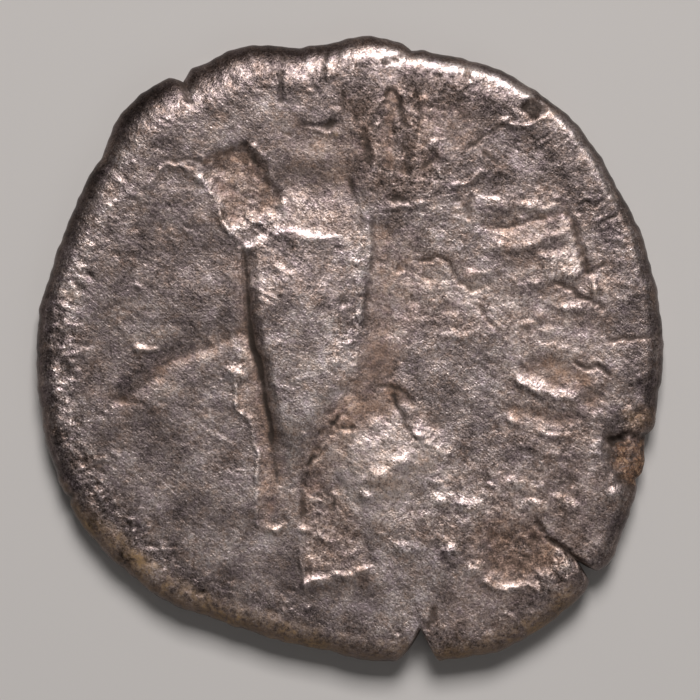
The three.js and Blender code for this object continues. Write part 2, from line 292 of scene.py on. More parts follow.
def add_body():
    left, right = over(WY, BODY_LEFT), over(WY, BODY_RIGHT)
    fade = 0.3 + 0.9 * ease(WX, -1.0, 0.4)
    foot = 1 - ease(WY, -3.4, -2.0)
    share = ease(WX - left, -0.14 - 0.25 * foot, 0.45 + 0.3 * foot) * ease(right - WX, -0.3, 0.7)
    share = share * ease((over(WX, BODY_TOP) - WY) / fade, -0.4, 0.6) * ease(WY, -5.5, -4.8)
    put(..., share, tone=0.03)
    share = share * (1 - 0.6 * ease((WX - left) / (right - left), 0.3, 1.0) * ease(WY, -1.5, 0.5))
    put(..., share, tone=0.08, rough=0.2)
    rise = 0.35 + 0.65 * ease(over(WX, BODY_TOP) - WY, 0.0, 2.2)
    put(..., share * rise * (0.12 * (1 - 0.75 * foot) + 0.07 * ease(WY, -4.5, 0.5)), relief=1)
    put(..., share * ease(WY, -0.5, 1.8), tone=-0.13)
    put(..., share * ease(-WY, 1.0, 2.5), tone=0.1)
    lip([(x, y - 0.02) for x, y in BODY_TOP[:5]], 0.12, 0.3, relief=0.03, tone=0.12)
    lip([(-3.05, 2.98), (-2.6, 3.12), (-2.25, 3.3), (-1.9, 3.44)], 0.12, 0.25, relief=0.035, tone=0.3)
    stroke([(-3.05, 3.02), (-2.6, 3.16), (-2.25, 3.34), (-1.9, 3.46), (-1.4, 3.42), (-0.8, 3.28),
            (-0.2, 3.2)], 0.09, relief=0.012, tone=0.3, dirt=-0.3)
    # groove down its left side, darkened with grime and painted shade, brown about it
    width = over(SY, GROOVE_WIDTH)
    reach = ease(WY, -2.9, -2.2) * (1 - ease(WY, 2.9, 3.2))
    off = np.abs(0.6 * SX + 0.4 * WX - over(SY, BODY_LEFT) + 0.02)
    put(..., bell(off / (2 * width)) * reach, relief=-0.05)
    put(..., ease(1.5 - off / width, 0, 1.0) * reach * (1.0 - 0.5 * ease(SY, 1.0, 2.4)), grime=0.8)
    core = np.abs(0.6 * SX + 0.4 * WX - over(SY, BODY_LEFT) - 0.04)
    put(..., ease(1.1 - core / width, 0, 0.7) * reach, grime=1.0)
    crack([(-2.3, -2.4), (-2.2, -2.8), (-2.12, -3.13), (-2.08, -3.85)], 0.09, 0.015, 1.4)
    stroke([(-2.4, -2.5), (-2.36, -3.6), (-2.34, -5.0)], 0.36, dirt=0.45)
    crack([(-1.4, -3.6), (-1.33, -4.2), (-1.36, -4.9)], 0.065, 0.01, 0.5)
    put(..., bell(off / 0.5) * ease(WY, -5.2, -3.8) * (1 - ease(WY, 1.5, 3)), dirt=0.6)
    # its right side is hardly a line above and crumbled below; the line is darkened with grime and painted
    # shade
    stroke([(x, y) for y, x in BODY_RIGHT if y > 0.5], 0.09, relief=-0.035, grime=0.9)
    area([(0.66, 3.6), (1.2, 3.5), (1.2, 0.4), (0.5, 0.4)], 0.25, relief=-0.02, dirt=0.25)
    stroke([(x - 0.2, y) for y, x in BODY_RIGHT if 0 < y < 3.5], 0.22, relief=0.015, tone=0.08, rough=0.9)
    stroke([(x, y) for y, x in BODY_RIGHT if y < -1], 0.11, relief=-0.01, grime=0.1)
    stroke([(x, y) for y, x in BODY_RIGHT if y < -1], 0.45, dirt=0.35, rough=0.5)
    stroke([(x + 0.1, y) for y, x in BODY_RIGHT if -3.2 < y < 0], 0.6, relief=0.05, dirt=0.3, tone=0.06)
    for x, y, dx, dy in [(-0.42, -1.62, -0.2, -0.22), (-0.75, -2.2, -0.12, -0.3), (-1.05, -2.9, 0.25, 0.2),
                         (-1.0, -3.15, -0.2, -0.15), (-0.35, -1.9, 0.3, 0.1), (-1.25, -3.6, 0.05, -0.35),
                         (-0.6, -2.1, 0.2, -0.12), (-1.3, -4.4, 0.03, -0.4)]:
        stroke([(x, y), (x + dx, y + dy)], 0.08, relief=-0.04, grime=0.9)
    spot(-2.14, -5.2, 0.28, 0.2, relief=0.06, tone=0.2)
    spot(-1.29, -5.2, 0.26, 0.18, relief=0.06, tone=0.2)
    # ledge beside the groove
    area([(-3.2, -1.1), (-3.2, -1.7), (-2.85, -2.0), (-2.65, -2.9), (-2.6, -5.0), (-2.2, -5.0), (-2.15, -3.0),
          (-2.4, -1.6), (-2.65, -0.4)], 0.15, dirt=0.35, relief=-0.02, rough=0.5)
    stroke([(-3.23, -1.05), (-3.22, -1.7), (-2.87, -2.0), (-2.66, -2.9), (-2.7, -3.6), (-2.62, -5.0)], 0.09,
           relief=0.035, tone=0.2, rough=0.6)
    area([(-3.45, 0.5), (-2.85, 0.5), (-2.75, -0.4), (-3.3, -0.3)], 0.3, rough=0.6, tone=0.12)
    spot(-3.32, -0.68, 0.5, 0.34, -15, relief=0.05, tone=0.16, rough=0.8)
    crumble([(-3.8, -0.35), (-2.95, -0.4), (-2.95, -1.0), (-3.7, -1.05)], 45, 21, 0.12, relief=0.026,
            tone=0.12)
    # bright grain and knocks on the body
    area([(-0.2, 3.1), (0.55, 3.2), (0.5, 2.0), (0.05, 2.1)], 0.4, rough=0.5, tone=0.04)
    area([(-0.8, 1.0), (0.35, 1.1), (0.2, -0.4), (-0.7, -0.5)], 0.5, rough=0.5, tone=0.08)
    spot(-0.18, 1.32, 0.26, relief=-0.035, grime=0.2)
    for x, y, r in [(0.15, 2.5, 0.18), (0.0, 0.1, 0.16), (-0.3, -0.38, 0.24), (-0.35, 0.55, 0.14),
                    (-1.3, -2.45, 0.16), (-1.0, 0.9, 0.2), (-1.7, 2.2, 0.2)]:
        spot(x, y, r, r * 0.6, 10, relief=0.03, tone=0.12)


def add_pocket():
    """Brown recess at the upper left of the body, the smooth recess and the slope beside it."""
    area([(-3.96, 5.43), (-3.44, 5.66), (-3.1, 5.74), (-2.8, 5.62), (-2.51, 5.3), (-2.2, 4.8),
          (-2.02, 4.34), (-2.2, 3.97), (-2.82, 3.85), (-3.34, 3.66), (-3.6, 4.08), (-3.91, 4.8)], 0.6,
         relief=-0.1, dirt=0.65, tone=0.17, rough=0.9)
    # dark rim along the pocket's upper and right wall, with its dark spots: grime and painted shade
    stroke([(-3.5, 5.62), (-3.3, 5.7), (-3.05, 5.74), (-2.8, 5.6), (-2.62, 5.36), (-2.42, 5.2), (-2.3, 4.85),
            (-2.12, 4.6), (-2.05, 4.3)], 0.24, relief=-0.03, grime=0.4)
    for x, y, a, b, turn in [(-3.3, 5.72, 0.22, 0.1, 20), (-2.7, 5.5, 0.1, 0.22, 20),
                             (-2.42, 5.05, 0.1, 0.24, 25), (-2.15, 4.6, 0.08, 0.2, 15)]:
        spot(x, y, a, b, turn, relief=-0.02, grime=0.8)
    for x, y, a, b in [(-3.2, 5.45, 0.4, 0.16), (-2.75, 5.1, 0.22, 0.3), (-2.4, 4.5, 0.2, 0.3),
                       (-3.3, 4.6, 0.25, 0.2), (-3.6, 5.2, 0.25, 0.15), (-2.9, 4.3, 0.3, 0.14)]:
        spot(x, y, a, b, 15, relief=-0.02, grime=0.3)
    area([(-3.7, 5.5), (-2.9, 5.85), (-2.3, 5.0), (-2.1, 4.2), (-2.5, 4.1), (-2.7, 4.8), (-3.2, 5.2)], 0.5,
         dirt=0.5, tone=-0.16)
    crumble([(-4.0, 5.4), (-2.9, 5.8), (-2.0, 4.3), (-2.3, 3.6), (-3.5, 3.7)], 150, 11, 0.13, relief=0.022,
            tone=0.26, grime=-0.35)
    lip([(-3.05, 4.6), (-2.85, 4.62), (-2.65, 4.55)], 0.1, 0.12, relief=0.03, tone=0.25)
    spot(-2.6, 4.68, 0.1, relief=0.03, tone=0.2)
    stroke([(-5.16, 5.43), (-4.7, 5.5), (-4.27, 5.43)], 0.1, relief=-0.015, grime=0.5)
    stroke([(-4.1, 5.45), (-3.7, 5.6), (-3.4, 5.7)], 0.2, dirt=0.6, grime=0.2)
    stroke([(-2.75, 5.8), (-2.28, 5.1), (-1.95, 4.5), (-1.95, 3.9)], 0.16, relief=0.035, tone=0.12, rough=0.4)
    lip([(-5.73, 4.75), (-5.5, 5.08), (-5.3, 5.2), (-5.1, 5.34), (-4.9, 5.3), (-4.7, 5.28), (-4.55, 5.15),
         (-4.4, 5.18), (-4.25, 4.98), (-4.05, 4.9)], 0.12, 0.3, relief=0.035, tone=0.1)
    stroke([(-4.12, 5.0), (-3.9, 4.5), (-3.72, 4.05), (-3.5, 3.5), (-3.2, 3.1)], 0.17, relief=0.025,
           tone=0.14, rough=0.9)
    stroke([(-3.4, 3.5), (-3.0, 3.56), (-2.7, 3.66), (-2.3, 3.58), (-2.0, 3.5)], 0.14, relief=0.006,
           tone=0.14, rough=0.6)
    area([(-3.3, 3.7), (-2.8, 3.95), (-2.2, 4.0), (-1.9, 3.6), (-2.6, 3.3), (-3.1, 3.2)], 0.6, tone=-0.06,
         rough=0.5)
    spot(-3.6, 4.2, 0.9, 0.9, tone=-0.3, dirt=0.2)
    area([(-2.0, 6.3), (-1.2, 6.4), (-0.3, 6.25), (0.35, 6.1), (0.4, 5.0), (0.1, 4.5), (-1.0, 4.35),
          (-1.9, 4.5)], 0.8, relief=-0.05, dirt=0.35, tone=0.05, rough=0.1)
    slope = ease(WX, -2.3, -1.9) * (1 - ease(WX, -0.1, 0.5)) * ease(WY, 3.3, 4.3) * (1 - ease(WY, 4.6, 5.6))
    put(..., slope, relief=-0.055)
    area([(-2.05, 4.2), (-0.9, 4.3), (0.15, 4.1), (0.2, 3.3), (-0.6, 3.2), (-1.9, 3.4)], 0.4, tone=0.02,
         dirt=0.25, rough=0.6)
    stroke([(-1.02, 6.42), (-0.8, 6.5), (-0.6, 6.47), (-0.42, 6.6)], 0.1, relief=-0.04, grime=0.5)
    spot(-0.47, 6.47, 0.16, 0.22, 30, relief=-0.04, grime=0.7)
    lip([(-1.1, 6.3), (-0.85, 6.33), (-0.6, 6.22), (-0.4, 6.3)], 0.08, 0.14, relief=0.02, tone=0.1)


def add_arm():
    path = [(-6.55, -1.48), (-6.2, -1.25), (-5.55, -0.8), (-5.2, -0.38), (-4.2, 0.0), (-3.7, 0.15),
            (-3.0, 0.45)]
    lip(path, 0.9, 0.5, relief=-0.045)
    stroke(path, 0.42, dirt=0.6)
    area([(-6.6, -1.3), (-5.5, -0.6), (-4.9, -0.2), (-3.2, 0.5), (-3.6, 1.0), (-5.2, 0.5), (-6.7, -0.4)], 0.6,
         tone=-0.14)
    spot(-6.6, -1.46, 0.24, 0.16, relief=-0.04, grime=0.35, dirt=0.5)
    stroke([(-6.5, -1.48), (-5.9, -1.62)], 0.12, relief=-0.02, dirt=0.4)
    stroke([(-6.6, -1.48), (-7.1, -1.3), (-7.6, -1.22)], 0.22, dirt=0.45)
    lip([(-6.08, 0.06), (-5.8, -0.04), (-5.46, 0.04)], 0.14, 0.14, relief=0.05, tone=0.2)
    spot(-5.78, 0.3, 0.34, 0.24, relief=-0.03, tone=-0.08)


def add_bunch():
    """Lumpy mass below the body's right side, with its cracks; its rounded lumps are lightened with painted
    highlights.
    """
    area([(-0.1, -1.5), (0.4, -1.15), (1.0, -1.0), (1.45, -1.15), (1.7, -1.7), (2.1, -2.2), (2.8, -3.0),
          (2.4, -3.35), (1.95, -3.55), (1.5, -3.95), (0.9, -4.25), (0.4, -4.1), (-0.1, -3.5), (-0.5, -2.7),
          (-0.35, -2.0)], 1.1, relief=0.06, tone=0.14, dirt=0.3, rough=0.35)
    area([(0.0, -2.8), (0.7, -2.5), (1.5, -2.5), (2.65, -2.85), (2.0, -3.4), (1.4, -3.75), (0.8, -4.0),
          (0.25, -3.7)], 0.7, tone=0.22, rough=0.2)
    area([(0.4, 0.3), (1.3, 0.3), (1.25, -0.8), (1.6, -1.4), (1.1, -1.9), (0.3, -2.1), (-0.5, -2.2),
          (-0.1, -1.4), (0.35, -0.8)], 0.5, dirt=0.55, tone=-0.18, rough=-0.3)
    area([(-0.1, -1.2), (0.3, -1.5), (0.1, -2.2), (-0.2, -3.0), (-0.6, -3.8), (-1.15, -4.2), (-1.1, -3.2),
          (-0.7, -2.2)], 0.4, dirt=0.5, rough=0.5, tone=0.12)
    crack([(0.78, -1.1), (0.93, -1.05), (1.2, -1.05), (1.39, -1.16), (1.61, -1.35), (1.84, -1.58)], 0.065,
          0.025, 1.0)
    crack([(1.2, -1.31), (1.35, -1.58), (1.5, -1.8), (1.63, -2.03), (1.73, -2.26), (1.92, -2.6)], 0.085,
          0.05, 1.8)
    crack([(-0.28, -2.17), (-0.1, -2.2), (0.1, -2.13)], 0.07, 0.03)
    lip([(-0.3, -2.45), (-0.1, -2.33), (0.1, -2.28)], 0.1, 0.2, relief=0.035, tone=0.16)
    stroke([(0.1, -2.13), (0.12, -2.5), (0.0, -2.7)], 0.08, relief=-0.02, grime=0.5)
    crack([(-1.15, -3.22), (-1.02, -3.05), (-0.96, -3.1), (-0.85, -2.93), (-0.65, -2.88)], 0.07, 0.02)
    crack([(-0.38, -1.95), (-0.6, -2.15), (-0.65, -2.35), (-0.78, -2.6)], 0.08, 0.02, 1.0)
    spot(-0.81, -4.2, 0.14, 0.1, relief=-0.04, grime=0.8)
    stroke([(1.3, -1.15), (1.8, -1.6), (2.45, -2.15)], 0.32, relief=-0.035, dirt=0.55)
    lip([(1.92, -2.44), (2.2, -2.6), (2.62, -2.9)], 0.24, 0.2, relief=0.09, tone=0.3)
    spot(2.15, -2.2, 0.35, 0.22, -35, relief=0.03, tone=0.1)
    # low lumps made lighter all over: painted highlights of rounded metal
    for x, y, a, b, rise in [
            (0.75, -2.05, 0.42, 0.22, 0.05), (-0.1, -2.45, 0.32, 0.24, 0.05), (0.45, -2.75, 0.42, 0.3, 0.05),
            (1.5, -3.15, 0.36, 0.32, 0.06), (0.9, -3.55, 0.34, 0.28, 0.08), (0.45, -4.1, 0.26, 0.22, 0.06),
            (1.1, -2.55, 0.3, 0.2, 0.04), (1.95, -3.3, 0.3, 0.16, 0.03), (0.15, -1.75, 0.3, 0.2, 0.03)]:
        spot(x, y, 1.3 * a, 1.3 * b, -20, relief=0.4 * rise, tone=0.16)
    spot(1.42, -2.97, 0.13, relief=-0.03)
    spot(0.9, -3.2, 2.2, 1.5, -10, relief=0.06)
    crumble([(-0.5, -2.0), (0.6, -1.6), (1.6, -1.8), (2.7, -2.9), (1.4, -3.6), (0.7, -4.4), (-0.9, -3.8)],
            130, 12, 0.14, relief=0.01, tone=0.1, grime=-0.12)
    crumble([(-1.3, -3.6), (0.2, -4.0), (0.5, -6.2), (-1.25, -6.6)], 130, 13, 0.13, relief=0.015, tone=0.1,
            grime=-0.15)
    crumble([(0.9, -4.2), (4.2, -3.2), (4.8, -4.6), (3.6, -6.4), (1.0, -5.9)], 260, 14, 0.15, relief=0.013,
            tone=0.08)
    area([(-1.25, -3.9), (-0.3, -3.9), (0.3, -5.0), (0.5, -6.2), (-0.3, -6.4), (-1.25, -6.6)], 0.6,
         relief=-0.01, dirt=0.45, rough=0.8, tone=0.12)
    stroke([(-1.42, -5.4), (-1.4, -6.0), (-1.29, -6.68)], 0.1, relief=0.025, tone=0.1)
    stroke([(0.3, -5.3), (0.5, -5.8), (0.6, -6.2)], 0.2, relief=-0.02, tone=-0.14)
    crack([(-0.35, -4.4), (-0.05, -4.75), (0.3, -4.95)], 0.065, 0.02, 1.0)
    crack([(-0.75, -4.0), (-0.45, -4.3), (-0.55, -4.6)], 0.065, 0.02, 1.0)
    spot(0.5, -4.1, 1.6, 1.5, relief=0.045, tone=0.3, rough=0.3, dirt=0.15)
    spot(0.7, -2.9, 1.5, 1.2, rough=-0.15)
    # lumps made lighter all over: painted highlights of rounded metal
    spot(0.88, -3.6, 0.42, 0.36, relief=0.035, tone=0.24)
    spot(1.58, -3.2, 0.46, 0.4, 30, relief=0.035, tone=0.2)
    spot(0.5, -4.2, 0.26, 0.34, 20, relief=0.04, tone=0.2)
    lip([(-0.83, -5.4), (-0.5, -5.55), (-0.2, -5.4), (0.05, -5.65)], 0.12, 0.16, relief=0.045, tone=0.2)
    lip([(-0.75, -4.3), (-0.45, -4.15)], 0.1, 0.16, relief=0.03, tone=0.1)
    lip([(-1.29, -6.68), (-1.0, -6.56), (-0.7, -6.56), (-0.4, -6.44), (-0.1, -6.46), (0.45, -6.22)], 0.14,
        0.35, relief=0.05, tone=0.12)
    area([(1.9, -3.3), (4.0, -3.2), (4.6, -4.4), (3.8, -5.3), (2.2, -5.6), (0.8, -5.0), (0.9, -4.2)], 0.8,
         rough=0.45, dirt=0.2)


STROKE_CRESTS = [  # path, reach above and below, rise
    ([(4.2, 4.1), (4.8, 4.1), (5.5, 4.04), (6.06, 4.2)], 0.6, 0.3, 0.1),
    ([(4.26, 2.98), (4.8, 3.01), (5.5, 3.12), (6.1, 3.32)], 0.6, 0.4, 0.1),
    ([(5.0, 1.85), (5.5, 1.95), (6.0, 2.05)], 0.28, 0.2, 0.05),
    ([(5.5, 0.1), (6.0, 0.14), (6.55, 0.0)], 0.16, 0.3, 0.05),
    ([(4.9, -0.98), (5.35, -1.18), (5.85, -1.34), (6.4, -1.4)], 0.4, 0.22, 0.1),
    ([(4.65, -2.02), (5.2, -2.22), (5.72, -2.42), (6.27, -2.44)], 0.16, 0.24, 0.09),
    ([(4.9, -2.7), (5.2, -2.78), (5.5, -2.9)], 0.14, 0.2, 0.06),
    ([(6.5, -1.75), (7.1, -2.0)], 0.12, 0.16, 0.035),
    ([(5.65, -3.0), (6.3, -3.06)], 0.12, 0.16, 0.045),
    ([(2.7, 0.42), (3.16, 0.38), (3.6, 0.45), (3.9, 0.36), (4.2, 0.6)], 0.3, 0.3, 0.055),
]


def add_strokes():
    """Rows of shallow strokes at the right, in place of the worn legend."""
    for path, above, below, rise in STROKE_CRESTS:
        lip(path, above, below, relief=0.42 * rise, tone=0.12, rough=0.2)
    area([(4.4, 3.42), (5.4, 3.66), (6.1, 3.8), (6.2, 3.35), (5.5, 3.15), (4.5, 3.0)], 0.2, dirt=0.25)
    crack([(4.2, 3.59), (4.47, 3.52), (4.94, 3.62), (5.42, 3.77), (5.62, 3.81)], 0.065, 0.03, 1.1)
    stroke([(3.9, 3.55), (4.47, 3.52), (4.94, 3.62), (5.42, 3.77), (6.0, 3.9)], 0.2, relief=-0.02, dirt=0.5)
    area([(4.4, 2.92), (6.2, 3.12), (6.4, 2.75), (5.5, 2.6), (4.5, 2.3)], 0.25, tone=-0.14)
    stroke([(6.07, 4.2), (6.3, 3.83), (6.51, 3.28), (6.71, 2.6), (6.81, 2.23)], 0.18, relief=-0.04, dirt=0.6,
           grime=0.3)
    crack([(6.2, 4.0), (6.36, 3.7), (6.51, 3.28), (6.62, 2.9), (6.71, 2.6), (6.81, 2.23)], 0.07, 0.02, 0.9)
    crack([(6.81, 2.23), (7.05, 2.3), (7.32, 2.49)], 0.06, 0.015, 0.8)
    area([(5.5, 2.75), (6.3, 2.85), (6.65, 2.4), (6.5, 2.05), (5.6, 2.1)], 0.3, relief=0.045, tone=0.15,
         rough=0.6)
    spot(7.0, 1.8, 0.28, 0.32, relief=0.06, tone=0.15, rough=0.4)
    spot(6.38, 1.15, 0.46, 0.3, 5, relief=0.06, tone=0.18, rough=0.5)
    for x, y, a, b in [(5.5, 0.95, 0.32, 0.26), (5.7, 0.55, 0.34, 0.22), (5.1, 0.7, 0.3, 0.2)]:
        spot(x, y, a, b, relief=0.03, dirt=0.25)
    area([(4.95, -0.6), (5.3, -0.28), (5.9, -0.2), (6.4, -0.45), (6.9, -0.8), (6.7, -1.1), (5.9, -1.0),
          (5.3, -0.85)], 0.4, relief=-0.04, dirt=0.7, grime=0.15)
    spot(6.8, -0.95, 0.6, 0.45, relief=0.02, dirt=0.35)
    spot(6.98, -1.45, 0.5, 0.42, relief=-0.06, dirt=0.85, grime=0.3)
    stroke([(4.7, -1.75), (5.3, -1.85), (5.9, -2.0), (6.5, -1.95)], 0.3, relief=-0.03, dirt=0.55)
    crumble([(3.9, 4.4), (6.3, 4.6), (7.6, 2.0), (7.7, -2.4), (6.6, -3.4), (4.6, -2.6), (4.4, 0.2)], 330,
            16, 0.14, relief=0.006, tone=0.06)
    area([(4.0, 4.4), (6.3, 4.6), (7.4, 2.0), (7.5, -1.4), (6.6, -3.4), (4.6, -2.6), (4.4, 0.2)], 1.0,
         dirt=0.22)
    for y in (-2.7, -2.86, -3.02):
        stroke([(6.9, y), (7.2, y + 0.03)], 0.09, relief=0.035, tone=0.3)


UPPER_FURROWS = [  # path, width, depth
    ([(0.06, 7.12), (0.17, 6.76), (0.26, 6.4)], 0.07, 0.025),
    ([(0.4, 6.3), (0.47, 6.05), (0.49, 5.88)], 0.12, 0.035), ([(0.47, 5.75), (0.53, 5.36)], 0.14, 0.035),
    ([(1.42, 7.0), (1.49, 6.52), (1.61, 5.97), (1.65, 5.25)], 0.14, 0.03),
    ([(1.93, 7.4), (1.97, 6.7), (1.93, 6.05), (1.77, 5.48)], 0.07, 0.03),
    ([(2.2, 5.3), (2.5, 5.52)], 0.16, 0.03),
    ([(1.0, 7.05), (1.1, 7.4), (1.25, 7.5), (1.38, 7.35), (1.45, 7.0)], 0.07, 0.025),
    ([(-0.15, 7.3), (-0.13, 6.8)], 0.08, 0.02), ([(0.05, 4.85), (0.06, 4.5)], 0.09, 0.015),
    ([(3.4, 4.3), (3.45, 3.8)], 0.12, 0.025), ([(3.9, 5.7), (4.3, 5.35)], 0.09, 0.015),
    ([(3.42, 5.83), (3.89, 6.15), (4.4, 6.44)], 0.07, 0.015), ([(1.1, 4.3), (1.6, 4.2)], 0.13, 0.02),
]


def add_upper_centre():
    """Worn patch between the figure's foot and the rim: soft furrows, dark spots and bits."""
    area([(-0.3, 7.4), (1.0, 7.5), (2.2, 7.3), (2.6, 5.4), (2.4, 4.4), (0.9, 4.2), (0.1, 5.2)], 0.8,
         rough=0.6, dirt=0.35, tone=-0.15)
    area([(2.0, 7.3), (3.3, 7.0), (3.8, 6.2), (3.3, 5.8), (2.1, 6.1)], 0.4, dirt=0.35, rough=-0.1)
    area([(3.6, 7.5), (4.7, 7.3), (5.1, 6.9), (4.4, 6.7), (3.7, 7.0)], 0.3, tone=-0.14, rough=-0.2)
    for path, width, depth in UPPER_FURROWS:
        crack(path, width, depth, 0.8)
        stroke(path, 2.6 * width, tone=-0.13, dirt=0.25)
    stroke([(1.21, 7.44), (1.09, 6.28), (1.13, 5.32)], 0.24, relief=-0.015, dirt=0.8, tone=0.12, rough=-0.4)
    spot(-0.56, 6.45, 0.28, 0.2, 20, relief=-0.05, grime=1.0)
    spot(-0.38, 6.2, 0.13, relief=0.02, ochre=0.9, tone=0.15)
    crumble([(-0.3, 7.4), (2.2, 7.4), (3.9, 6.3), (3.6, 4.2), (0.6, 4.2)], 260, 15, 0.14, relief=0.013,
            tone=0.12, grime=-0.15)
    for x, y, r in [(1.65, 5.05, 0.18), (2.15, 4.95, 0.16), (3.37, 3.97, 0.24), (2.44, 4.38, 0.16),
                    (0.06, 4.7, 0.16), (0.5, 5.75, 0.16), (0.6, 6.4, 0.14), (1.9, 6.9, 0.14),
                    (3.1, 4.3, 0.16)]:
        spot(x, y, 0.7 * r, r, 15, relief=-0.03, grime=0.6)
    lip([(0.68, 6.82), (0.88, 7.05), (1.1, 7.24)], 0.12, 0.14, relief=0.05, tone=0.18)
    lip([(1.5, 7.35), (1.75, 7.3), (1.95, 7.12), (2.2, 7.22)], 0.12, 0.16, relief=0.04, tone=0.16)
    lip([(2.96, 4.72), (3.4, 4.82), (3.8, 5.08)], 0.16, 0.26, relief=0.05, tone=0.15)
    lip([(1.0, 4.0), (1.4, 4.1), (1.7, 4.02), (2.1, 4.15)], 0.12, 0.14, relief=0.03, tone=0.12)
    for x, y, r in [(2.9, 6.45, 0.3), (2.35, 5.9, 0.28), (0.0, 7.1, 0.22), (3.1, 5.35, 0.4), (2.2, 7.1, 0.26),
                    (1.1, 5.6, 0.24), (0.4, 7.35, 0.26), (2.7, 5.2, 0.3)]:
        spot(x, y, r, r * 0.7, 20, relief=0.015, tone=0.06, rough=0.1)


def add_lower_right():
    for x, y, a, b, turn in [(3.4, -4.5, 0.62, 0.28, -12), (1.5, -5.7, 0.46, 0.2, 0),
                             (3.6, -6.28, 0.34, 0.24, -30), (6.15, -6.25, 0.3, 0.2, -40),
                             (2.9, -5.75, 0.3, 0.2, 0), (2.7, -4.3, 0.3, 0.2, -20)]:
        spot(x, y, 1.3 * a, 1.4 * b, turn, relief=0.04, tone=0.12, rough=0.8)
    for x, y, a, b, turn in [(4.7, -3.85, 0.5, 0.3, -25), (5.3, -4.5, 0.45, 0.3, -20),
                             (6.18, -4.4, 0.5, 0.36, -30)]:
        spot(x, y, a, b, turn, relief=0.03, tone=0.16, rough=1.2)
    crumble([(4.2, -3.4), (5.2, -3.9), (6.6, -4.0), (6.5, -4.8), (5.0, -4.8), (4.2, -4.1)], 90, 26, 0.15,
            relief=0.02, tone=0.12)
    area([(3.4, -4.8), (5.2, -4.7), (6.2, -5.8), (5.4, -6.9), (3.6, -6.6)], 0.8, tone=-0.08)
    area([(4.2, -3.4), (7.4, -3.4), (7.2, -5.4), (6.5, -6.6), (4.6, -7.8), (2.6, -8.6), (2.6, -7.4),
          (3.6, -5.8)], 1.0, dirt=0.3)
    area([(4.07, -5.2), (5.2, -5.05), (5.9, -5.6), (5.8, -6.35), (4.9, -6.6), (4.0, -6.3)], 0.5, relief=-0.07,
         dirt=0.9, grime=0.15, tone=-0.1, rough=0.9)
    area([(3.3, -4.9), (4.3, -4.8), (5.3, -5.0), (4.0, -5.4), (3.9, -6.3), (3.3, -5.9)], 0.6, dirt=0.3)
    crumble([(3.9, -5.0), (5.2, -5.0), (6.5, -6.2), (5.6, -7.1), (3.8, -6.8)], 190, 17, 0.14, relief=0.026,
            tone=0.09, grime=-0.2)
    area([(5.4, -5.4), (5.9, -5.5), (6.4, -6.1), (6.2, -6.4), (5.7, -6.1)], 0.25, rough=0.9, tone=0.14)
    lip([(3.8, -6.66), (4.3, -6.84), (4.9, -6.78)], 0.28, 0.2, relief=0.07, tone=0.2, rough=0.6)
    area([(5.2, -6.8), (5.6, -7.1), (6.4, -6.5), (6.35, -6.0), (5.8, -6.2)], 0.3, relief=0.03, tone=0.12,
         rough=1.0)
    crumble([(5.1, -6.7), (5.6, -7.2), (6.5, -6.5), (6.4, -5.9), (5.8, -6.0)], 80, 22, 0.14, relief=0.038,
            tone=0.14)


def add_rough_patch():
    area([(0.75, 3.6), (2.0, 3.4), (1.9, 0.6), (1.4, -0.6), (0.6, -0.2), (0.7, 1.5)], 0.6, dirt=0.3,
         tone=0.04)
    area([(1.3, 2.7), (2.4, 3.0), (3.6, 2.6), (4.2, 1.6), (3.9, 0.6), (2.4, 0.5), (1.4, 1.2)], 0.7,
         relief=-0.02, dirt=0.3, rough=0.3)
    spot(3.5, 2.05, 0.36, 0.3, relief=0.045, dirt=0.2)
    for x, y, a in [(1.5, 2.3, 0.3), (1.9, 1.4, 0.3), (2.3, 2.0, 0.3), (2.9, 1.2, 0.4)]:
        spot(x, y, a, a * 0.7, relief=-0.03, dirt=0.2)


CRACKS = [  # path, width, depth
    ([(2.05, 2.55), (2.4, 2.58), (2.55, 2.7), (2.9, 2.4), (3.08, 1.98), (3.4, 1.72), (3.75, 1.75)],
     0.065, 0.045),
    ([(5.93, 1.96), (6.06, 1.93), (6.17, 1.84), (6.37, 1.76), (6.51, 1.6), (6.71, 1.54), (6.84, 1.45),
      (6.98, 1.35), (7.15, 1.31), (7.25, 1.18)], 0.07, 0.05),
    ([(7.05, 2.36), (7.3, 2.44), (7.6, 2.46)], 0.06, 0.012),
    ([(3.75, 1.2), (4.0, 0.9), (4.25, 0.6)], 0.06, 0.035),
    ([(6.5, -0.35), (6.75, -0.5), (7.12, -0.42), (7.45, -0.65)], 0.09, 0.06),
    ([(7.48, 0.26), (8.2, 0.3), (8.77, 0.36), (9.0, 0.5)], 0.08, 0.03),
    ([(7.5, -2.62), (8.0, -2.45), (8.5, -2.5), (8.9, -2.4)], 0.17, 0.16),
    ([(5.4, -4.95), (5.7, -5.4), (6.05, -5.68), (6.4, -5.93), (6.85, -6.25)], 0.08, 0.14),
    ([(2.2, -8.0), (2.3, -7.8), (2.43, -7.75), (2.43, -7.4)], 0.09, 0.08),
    ([(-5.0, 7.95), (-4.85, 7.75), (-4.7, 7.4), (-4.55, 7.1)], 0.13, 0.12),
]


def add_cracks():
    for path, width, depth in CRACKS:
        crack(path, width, depth, min(1.4, 0.4 + 14 * depth))
        stroke(path, width * 2.5, dirt=0.3)


def towards(deg):
    """1 on the side of the coin that looks that way, falling to 0 a quarter turn off."""
    return np.maximum(0, np.cos(np.radians(DEG - deg)))


def shoulder_band(place, reach):
    """A soft band round the coin, at a share of the shoulder's width from the edge."""
    return bell(np.abs(EDGE_GAP / shoulder_width(DEG) - place) / reach)


